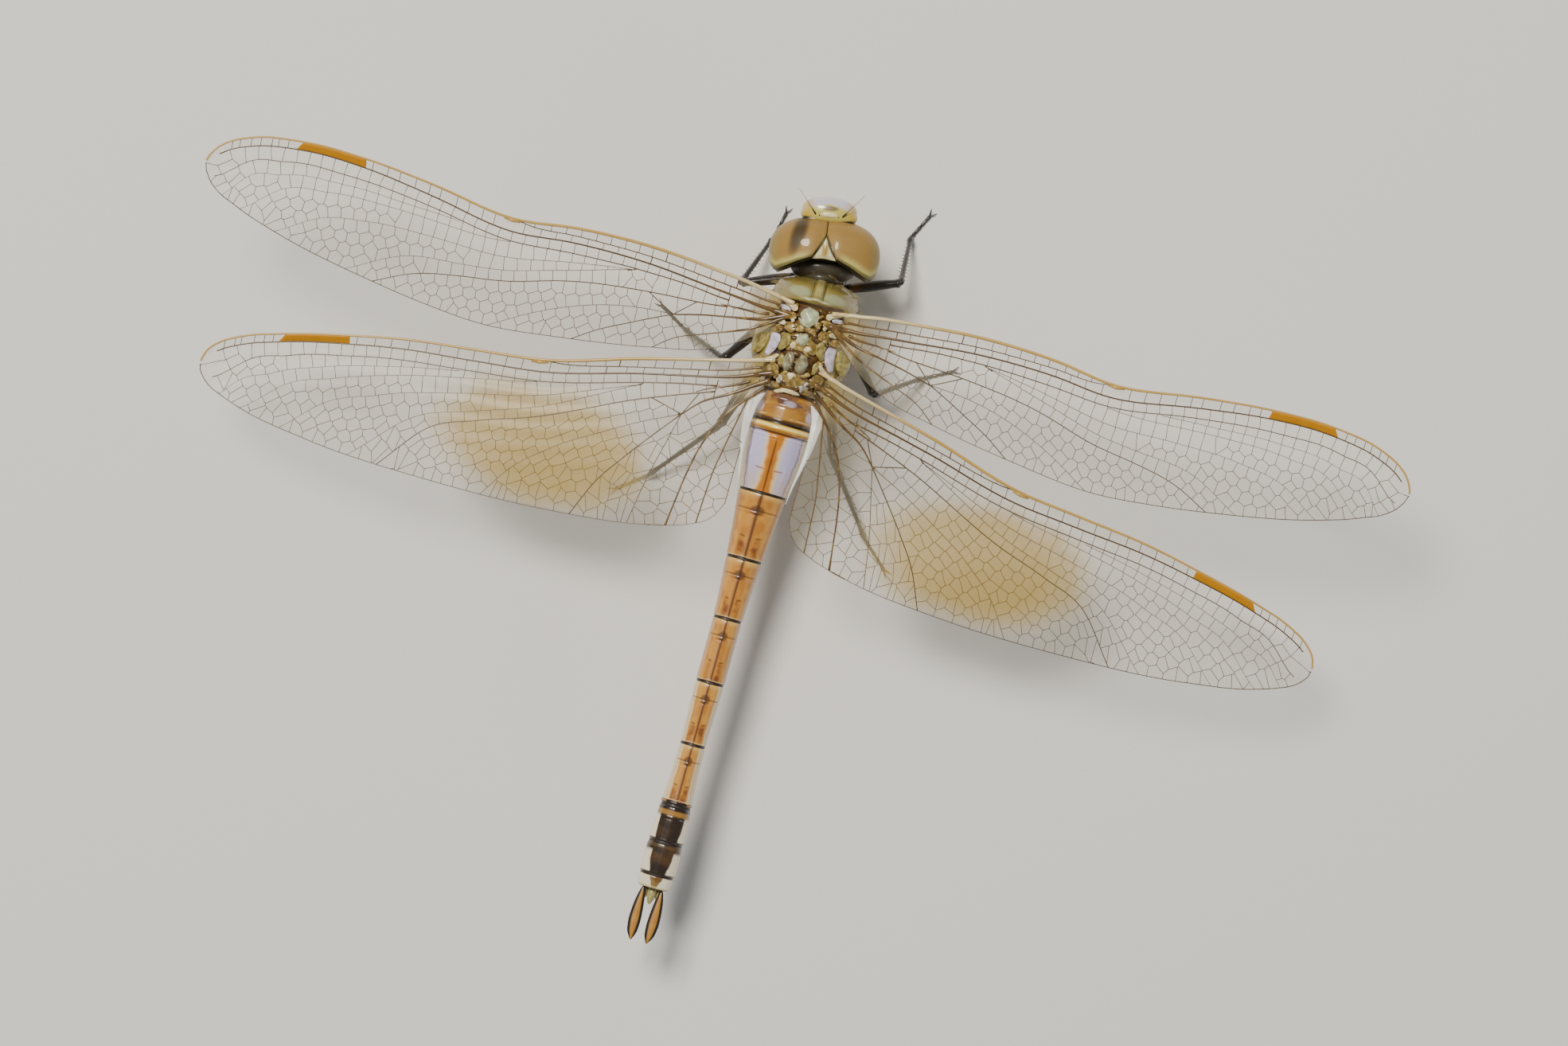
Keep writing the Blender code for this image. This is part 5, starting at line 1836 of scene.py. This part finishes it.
def cell_middles(wing, lines, cell, rng):
    """The middle of every cell behind the vein R, and mirror images across R and the edges.

    In columns half a cell apart, each gap between two long veins is cut into equal rows; the
    rows are taken in turn by odd and even columns, like bricks.
    """
    inside, outside = [], []
    tip = wing.s[-1] - 0.7
    for number, s in enumerate(np.arange(wing.s[0] + 0.4, tip, cell / 2)):
        top = np.interp(s, *lines["R"].T)
        bottom = wing.edges(s)[1]
        levels = [np.interp(s, *line.T) for line in lines.values() if line[0, 0] < s < line[-1, 0]]
        levels = np.sort([level for level in levels if bottom + 0.1 < level < top - 0.1])[::-1]
        levels = np.concatenate(([top], levels, [bottom]))
        for upper, lower in zip(levels[:-1], levels[1:]):
            shrink = 1.0 - 0.22 * (top - upper) / (top - bottom)
            rows = max(1, int(round((upper - lower) / (cell * shrink))))
            step = (upper - lower) / rows
            for row in range(rows):
                if row % 2 != number % 2:
                    continue
                wander = rng.uniform(-0.08, 0.08, 2) * cell
                spot = np.array((s + wander[0], upper - (row + 0.5) * step + wander[1] * min(step, 1)))
                inside.append(spot)
                if upper == top and row == 0:
                    outside.append((spot[0], 2 * top - spot[1]))
                if lower == bottom and row == rows - 1:
                    outside.append((spot[0], 2 * bottom - spot[1]))
                if number < 2:
                    outside.append((2 * wing.s[0] - spot[0], spot[1]))
    return np.array(inside), np.array(outside)


def net(wing, cell, rng):
    """The small cross-veins: the borders of the Voronoi cells of the cell middles.

    A border whose two cells lie on opposite sides of a long vein is left out. One that reaches
    a long vein ends on it.
    """
    named = [*RAILS[wing.name], *RAYS[wing.name]]
    lines = {name: wing.plan(*wing.vein(name)) for name in named}
    others = [wing.plan(*np.linspace(*bar, 8).T) for bar in BARS[wing.name]]
    others.append(wing.plan(wing.s, 1.0)[::4])
    others.append(wing.plan(wing.s[0], np.linspace(0.0, 1.0, 30)))
    parts = [*lines.values(), *others]
    first = np.vstack([line[:-1] for line in parts])
    second = np.vstack([line[1:] for line in parts])
    inside, outside = cell_middles(wing, lines, cell, rng)
    spots = np.vstack((inside, outside))
    made = delaunay_2d_cdt([Vector(spot) for spot in spots], [], [], 0, 1e-7)
    corners = np.array([tuple(corner) for corner in made[0]])
    triangles = np.array([face for face in made[2] if len(face) == 3])
    real = np.array([bool(source) and source[0] < len(inside) for source in made[3]])

    a, b, c = np.moveaxis(corners[triangles], 1, 0)
    b, c = b - a, c - a
    twice = 2 * (b[:, 0] * c[:, 1] - b[:, 1] * c[:, 0])
    b2, c2 = (b**2).sum(-1), (c**2).sum(-1)
    centre = np.stack((c[:, 1] * b2 - b[:, 1] * c2, b[:, 0] * c2 - c[:, 0] * b2), -1)
    centre = a + centre / twice[:, None]

    pairs = np.sort(triangles[:, ((0, 1), (1, 2), (2, 0))].reshape(-1, 2), axis=1)
    owner = np.repeat(np.arange(len(triangles)), 3)
    order = np.lexsort((pairs[:, 1], pairs[:, 0]))
    pairs, owner = pairs[order], owner[order]
    twin = np.nonzero((pairs[:-1] == pairs[1:]).all(axis=1))[0]
    cells, sides = pairs[twin], np.stack((owner[twin], owner[twin + 1]), -1)
    start, end = corners[cells[:, 0]], corners[cells[:, 1]]
    parted = crossings(start, end, first, second).min(axis=1) <= 1
    kept = ~parted & real[cells].all(axis=1)
    touched = np.zeros(len(triangles), dtype=bool)
    touched[sides[~kept].ravel()] = True

    middle, ends = (start + end)[kept] / 2, []
    for triangle in sides[kept].T:
        reach = centre[triangle]
        far = crossings(middle, reach, first, second).min(axis=1)
        cut = middle + (reach - middle) * np.minimum(far, 1.0)[:, None]
        snap = touched[triangle] & (far > 1)
        cut[snap] = nearest(cut[snap], first, second)
        ends.append(cut)
    length = np.linalg.norm(ends[0] - ends[1], axis=1)
    good = (length > 0.09) & (length < 2.4)
    return np.stack((ends[0][good], ends[1][good]), axis=1)


# the amber at a wing's root fades between these two places, forward of the body's origin
ROOT_AMBER = {"forewing": (-1.5, 1.0), "hindwing": (-7.0, -4.0)}


def paint_film(look, name):
    """Clear film, faintly warm, with the saffron patch of the hindwings and amber at the root."""
    paint = Paint(f"{name}_film", Specular_IOR_Level=0.35)
    x, y, _, _, cloud = paint.lay_out(0.22)
    out = abs(x)
    amber = (out + cloud * 3.0).rise(8.5, 4.5) * y.rise(*ROOT_AMBER[name]) * 0.7
    if name == "hindwing":
        shift = cloud * 5.0 - 2.5
        patch = oval(out + shift, y + shift * 0.4, (18.8, -13.8), (8.6, 4.8), 0.6)
        amber = amber.most(patch)
    colour = paint.blend(amber, look.film, look.amber)
    return paint.finish(colour, 0.36, alpha=0.08 + amber * 0.34)


def paint_vein(name, colour, near_root):
    """A vein's colour, warmer towards the root of the wing."""
    paint = Paint(name, (0.3, 0.2))
    point = paint.millimetres()
    out = abs(paint.split(point)[0])
    cloud = paint.noise(point, 0.6, 2.0)
    root = (out + cloud * 2.0).rise(15.0, 5.0)
    colour = paint.layers(colour, (cloud * 0.3, (60, 38, 18)), (root * 0.85, near_root))
    return paint.finish(colour, 0.32)


def paint_stigma(look):
    """Golden ochre, clouded with orange-brown."""
    paint = Paint("stigma_ochre", (0.1, 0.3), Specular_IOR_Level=0.15)
    point = paint.millimetres()
    cloud = paint.noise(point, 1.4, 2.0)
    colour = paint.layers(look.stigma, (cloud * 0.45, (176, 100, 20)))
    return paint.finish(colour, 0.42)


def stigma_top(wing):
    """Upper side of the pterostigma: rows outwards, columns from the front edge to the radius.

    It fills its cell and its outer end slants. It is domed: at w, -1 and 1 on its long sides, it
    stands 0.03 + 0.09 (1 - w^4) high, and its short ends are rounded off the same way.
    """
    low, high = wing.stigma
    way = shares(60)
    across = shares(15, -1.0, 1.0).T
    full = (1 - np.abs(2 * way - 1) ** 12) ** 0.5
    s = low + (high - low) * way + (0.3 * way - 0.06) * across
    t = wing.at("R", s.ravel()).reshape(s.shape) * (0.5 + 0.46 * across)
    return wing.points(s, t, 0.03 + 0.09 * (1 - across**4) * full)


def every_wing():
    return [Wing(name, side, sign) for name in WINGS for side, sign in SIDES]


class DRAGONFLY_OT_films(Operator):
    """Make the clear films of the four wings"""

    bl_idname = "dragonfly.films"
    bl_label = "Wing films"

    def execute(self, context):
        look = context.scene.dragonfly_wings
        materials = {name: paint_film(look, name) for name in WINGS}
        share = shares(56).T ** 1.25
        for wing in every_wing():
            skin = Skin()
            s = wing.s[::3][:, None]
            skin.slab(wing.points(s, share, FILM_DEPTH / 2), FILM_DEPTH)
            skin.piece(f"{wing.node}_film", materials[wing.name], "wing_membrane", [wing.node])
        return {"FINISHED"}


class DRAGONFLY_OT_veins(Operator):
    """Make the veins of the four wings, and the pterostigma near each tip"""

    bl_idname = "dragonfly.veins"
    bl_label = "Wing veins"

    def execute(self, context):
        look = context.scene.dragonfly_wings
        radius = look.vein_radius
        amber = (116, 90, 50)
        costa = paint_vein("vein_costa", look.costa, (228, 210, 164))
        dark = paint_vein("vein_dark", look.vein, amber)
        stigma = paint_stigma(look)
        for number, wing in enumerate(every_wing()):
            rng = np.random.default_rng(look.seed + number)
            front = wing.points(wing.s, 0.0)
            back = wing.points(wing.s, 1.0)[::-1]
            skin = Skin()
            width = 0.15 - 0.065 * ease(2.0, 46.0, wing.s) + 0.1 * np.exp(-(wing.s - 2.0) / 1.6)
            skin.tubes(front[None, ::2], width[None, ::2], 10, flat=1.1)
            s = np.array(((wing.nodus - 0.5, wing.nodus + 0.2, wing.nodus + 0.9),))
            skin.tubes(wing.points(s, 0.015), (0.09, 0.17, 0.08), 10)
            skin.piece(f"{wing.node}_costa", costa, "wing_vein")

            skin = Skin()
            rim = np.linspace(radius * 1.6, radius, len(back))
            skin.tubes(back[None, ::3], rim[None, ::3], 6)
            skin.tubes(wing.points(wing.s[0], np.linspace(0.62, 1.0, 30))[None], radius * 1.4, 6)
            for name in [*RAILS[wing.name], *RAYS[wing.name]]:
                s, t = wing.vein(name, 72)
                size = radius * VEIN_SIZES.get(name, 1.15)
                taper = size * (1 - 0.35 * s / 50) * (1 + 1.9 * np.exp(-(s - WING_ROOT) / 2.6))
                skin.tubes(wing.points(s, t)[None], taper[None], 8)
            for bar in BARS[wing.name]:
                s, t = np.linspace(*bar, 8).T
                skin.tubes(wing.points(s, t)[None], radius * 1.7, 8)
            for low, high, count, above, below in LADDERS[wing.name]:
                s = np.linspace(low, high, count) + rng.uniform(-0.16, 0.16, count)
                t = np.linspace(wing.at(above, s), wing.at(below, s), 4, axis=1)
                strong = np.where(np.isin(np.arange(count), (2, 7)) & (low < 5), 1.9, 1.2)
                skin.tubes(wing.points(s[:, None] + 0 * t, t), radius * strong[:, None], 5)
            skin.piece(f"{wing.node}_veins", dark, "wing_vein")

            skin = Skin()
            borders = net(wing, look.cell, rng)
            borders = np.stack((borders[:, 0], borders.mean(axis=1), borders[:, 1]), axis=1)
            s, y = np.moveaxis(borders, -1, 0)
            skin.tubes(wing.points(s, wing.share(s, y)), radius, 4)
            skin.piece(f"{wing.node}_net", dark, "wing_vein")

            skin = Skin()
            skin.slab(stigma_top(wing), 0.14)
            skin.piece(f"{wing.node}_stigma", stigma, "pterostigma")
        return {"FINISHED"}


# the white flap at the back of each hindwing's root: forward, its inner and its outer edge
MEMBRANULE = (
    (-4.85, 1.95, 2.1), (-5.35, 2.12, 2.85), (-5.8, 2.28, 3.25), (-7.0, 2.45, 3.22),
    (-8.8, 2.48, 3.0), (-10.2, 2.38, 2.7), (-11.7, 2.2, 2.38), (-13.3, 2.08, 2.14),
)
MEMBRANULE_HEIGHT = 12.62


class DRAGONFLY_OT_roots(Operator):
    """Make the thick roots of the veins and the white flaps beside the abdomen"""

    bl_idname = "dragonfly.roots"
    bl_label = "Wing roots"

    def execute(self, context):
        cream = paint_plate(
            "root_cream", (226, 198, 136), (176, 128, 60), (248, 236, 196), 0.2, 0.6
        )
        brown = paint_plate("root_brown", (110, 84, 46), (60, 44, 24), (170, 138, 78), 0.24, 0.9)
        white = paint_plate("membranule_white", (246, 244, 240), (206, 202, 196), None, 0.4)
        pale, dark = Skin(), Skin()
        for wing in every_wing():
            stems = {"C": (0.15, pale), "R": (0.2, dark), "CuP": (0.18, dark), "A": (0.12, dark)}
            for name, (thick, skin) in stems.items():
                s = np.linspace(wing.s[0] + 0.35, 8.5, 24)
                t = wing.at(name, s)
                path = wing.points(s, t)
                inward = path[0] + unit(path[0] - path[1]) * shares(6, 1.5, 0.1)
                inward[:, 2] = path[0, 2] + np.linspace(0.12, 0.0, 6)
                path = np.vstack((inward, path))
                way = np.linspace(0.0, 1.0, len(path))
                width = thick * (1 - way) ** 1.4 + 0.05
                skin.tubes(path[None], width[None], 12, flat=0.9)
            s = np.linspace(3.4, 7.5, 20)
            t = (wing.at("R", s) + wing.at("CuP", s)) / 2
            dark.tubes(wing.points(s, t)[None], np.linspace(0.14, 0.04, 20)[None], 8)
        pale.piece("wing_roots_pale", cream, "wing_vein")
        dark.piece("wing_roots_dark", brown, "wing_vein")

        skin = Skin()
        y = np.linspace(MEMBRANULE[0][0], MEMBRANULE[-1][0], 60)
        inner, outer = np.moveaxis(smooth(MEMBRANULE, y), -1, 0)[:, :, None]
        share = shares(14).T
        for _, sign in SIDES:
            x = inner + (outer - inner) * share
            z = MEMBRANULE_HEIGHT + 0.1 * np.sin(share * math.pi) + 0.04 * np.sin(y * 2.4)[:, None]
            skin.slab(sheet(sign * x, y[:, None], z), 0.06)
        skin.piece("membranules", white, "wing_membrane")
        return {"FINISHED"}


# ---- stage --------------------------------------------------------------------------------

LOOK_AT = np.array((2.4, -14.8, 15.0))  # where the camera looks, in body millimetres
FOCAL_LENGTH = 111.6
FLOOR_HALF = 2.0  # metres
WORLD_STRENGTH = 0.28
# place of each lamp, its size, power in watts and colour, in metres about the camera's target
LAMPS = (
    ((-0.26, 0.26, 0.76), 0.26, 8.4, (255, 250, 240)),
    ((1.2, -0.8, 0.5), 0.6, 2.0, (240, 246, 255)),
)


class DRAGONFLY_OT_stage(Operator):
    """Make the floor, the lamps and the camera that looks straight down"""

    bl_idname = "dragonfly.stage"
    bl_label = "Stage"

    def execute(self, context):
        stage = context.scene.dragonfly_stage
        target = Vector(place(LOOK_AT))
        mesh = bpy.data.meshes.new("floor")
        square = np.array(((-1, -1, 0), (1, -1, 0), (1, 1, 0), (-1, 1, 0))) * FLOOR_HALF
        mesh.from_pydata(square.tolist(), [], [(0, 1, 2, 3)])
        floor = bpy.data.objects.new("floor", mesh)
        paint = Paint("floor_pale", Roughness=0.85)
        mesh.materials.append(paint.finish((*stage.floor, 1.0)))
        made = [floor]
        for number, (offset, size, power, colour) in enumerate(LAMPS):
            lamp = bpy.data.lights.new(f"lamp_{number}", "AREA")
            lamp.shape, lamp.size, lamp.energy, lamp.color = "DISK", size, power, shade(*colour)
            lit = bpy.data.objects.new(f"lamp_{number}", lamp)
            lit.location = target + Vector(offset)
            lit.rotation_euler = (-Vector(offset)).to_track_quat("-Z", "Y").to_euler()
            made.append(lit)
        camera = bpy.data.objects.new("camera", bpy.data.cameras.new("camera"))
        camera.data.lens = FOCAL_LENGTH
        camera.data.clip_start = 0.01
        camera.location = target + Vector((0.0, 0.0, stage.distance))
        camera.rotation_euler = (0.0, 0.0, stage.roll)
        made.append(camera)
        for item in made:
            context.scene.collection.objects.link(item)
        context.scene.camera = camera
        world = bpy.data.worlds.new("studio")
        world.use_nodes = True
        background = world.node_tree.nodes["Background"]
        background.inputs["Color"].default_value = (*shade(236, 238, 240), 1.0)
        background.inputs["Strength"].default_value = WORLD_STRENGTH
        context.scene.world = world
        return {"FINISHED"}


# ---- add-on -------------------------------------------------------------------------------

SETTINGS = {
    "dragonfly_eyes": EyeSettings,
    "dragonfly_shell": ShellSettings,
    "dragonfly_wings": WingSettings,
    "dragonfly_legs": LegSettings,
    "dragonfly_stage": StageSettings,
}
PIECES = (
    DRAGONFLY_OT_eyes,
    DRAGONFLY_OT_occiput,
    DRAGONFLY_OT_face,
    DRAGONFLY_OT_feelers,
    DRAGONFLY_OT_legs,
    DRAGONFLY_OT_thorax,
    DRAGONFLY_OT_abdomen,
    DRAGONFLY_OT_tail,
    DRAGONFLY_OT_films,
    DRAGONFLY_OT_veins,
    DRAGONFLY_OT_roots,
    DRAGONFLY_OT_stage,
)


class DRAGONFLY_PT_panel(Panel):
    """Lists the dragonfly's pieces and the settings they are made from"""

    bl_idname = "DRAGONFLY_PT_panel"
    bl_label = "Dragonfly"
    bl_space_type = "VIEW_3D"
    bl_region_type = "UI"
    bl_category = "Dragonfly"

    def draw(self, context):
        for name, group in SETTINGS.items():
            box = self.layout.box()
            for setting in group.__annotations__:
                box.prop(getattr(context.scene, name), setting)
        for piece in PIECES:
            self.layout.operator(piece.bl_idname)


CLASSES = (*SETTINGS.values(), *PIECES, DRAGONFLY_PT_panel)


def register():
    for item in CLASSES:
        bpy.utils.register_class(item)
    for name, group in SETTINGS.items():
        setattr(bpy.types.Scene, name, PointerProperty(type=group))


def unregister():
    for name in SETTINGS:
        delattr(bpy.types.Scene, name)
    for item in reversed(CLASSES):
        bpy.utils.unregister_class(item)


def main():
    """Make every piece in turn."""
    register()
    for piece in PIECES:
        getattr(bpy.ops.dragonfly, piece.bl_idname.split(".")[1])()


if __name__ == "__main__":
    main()
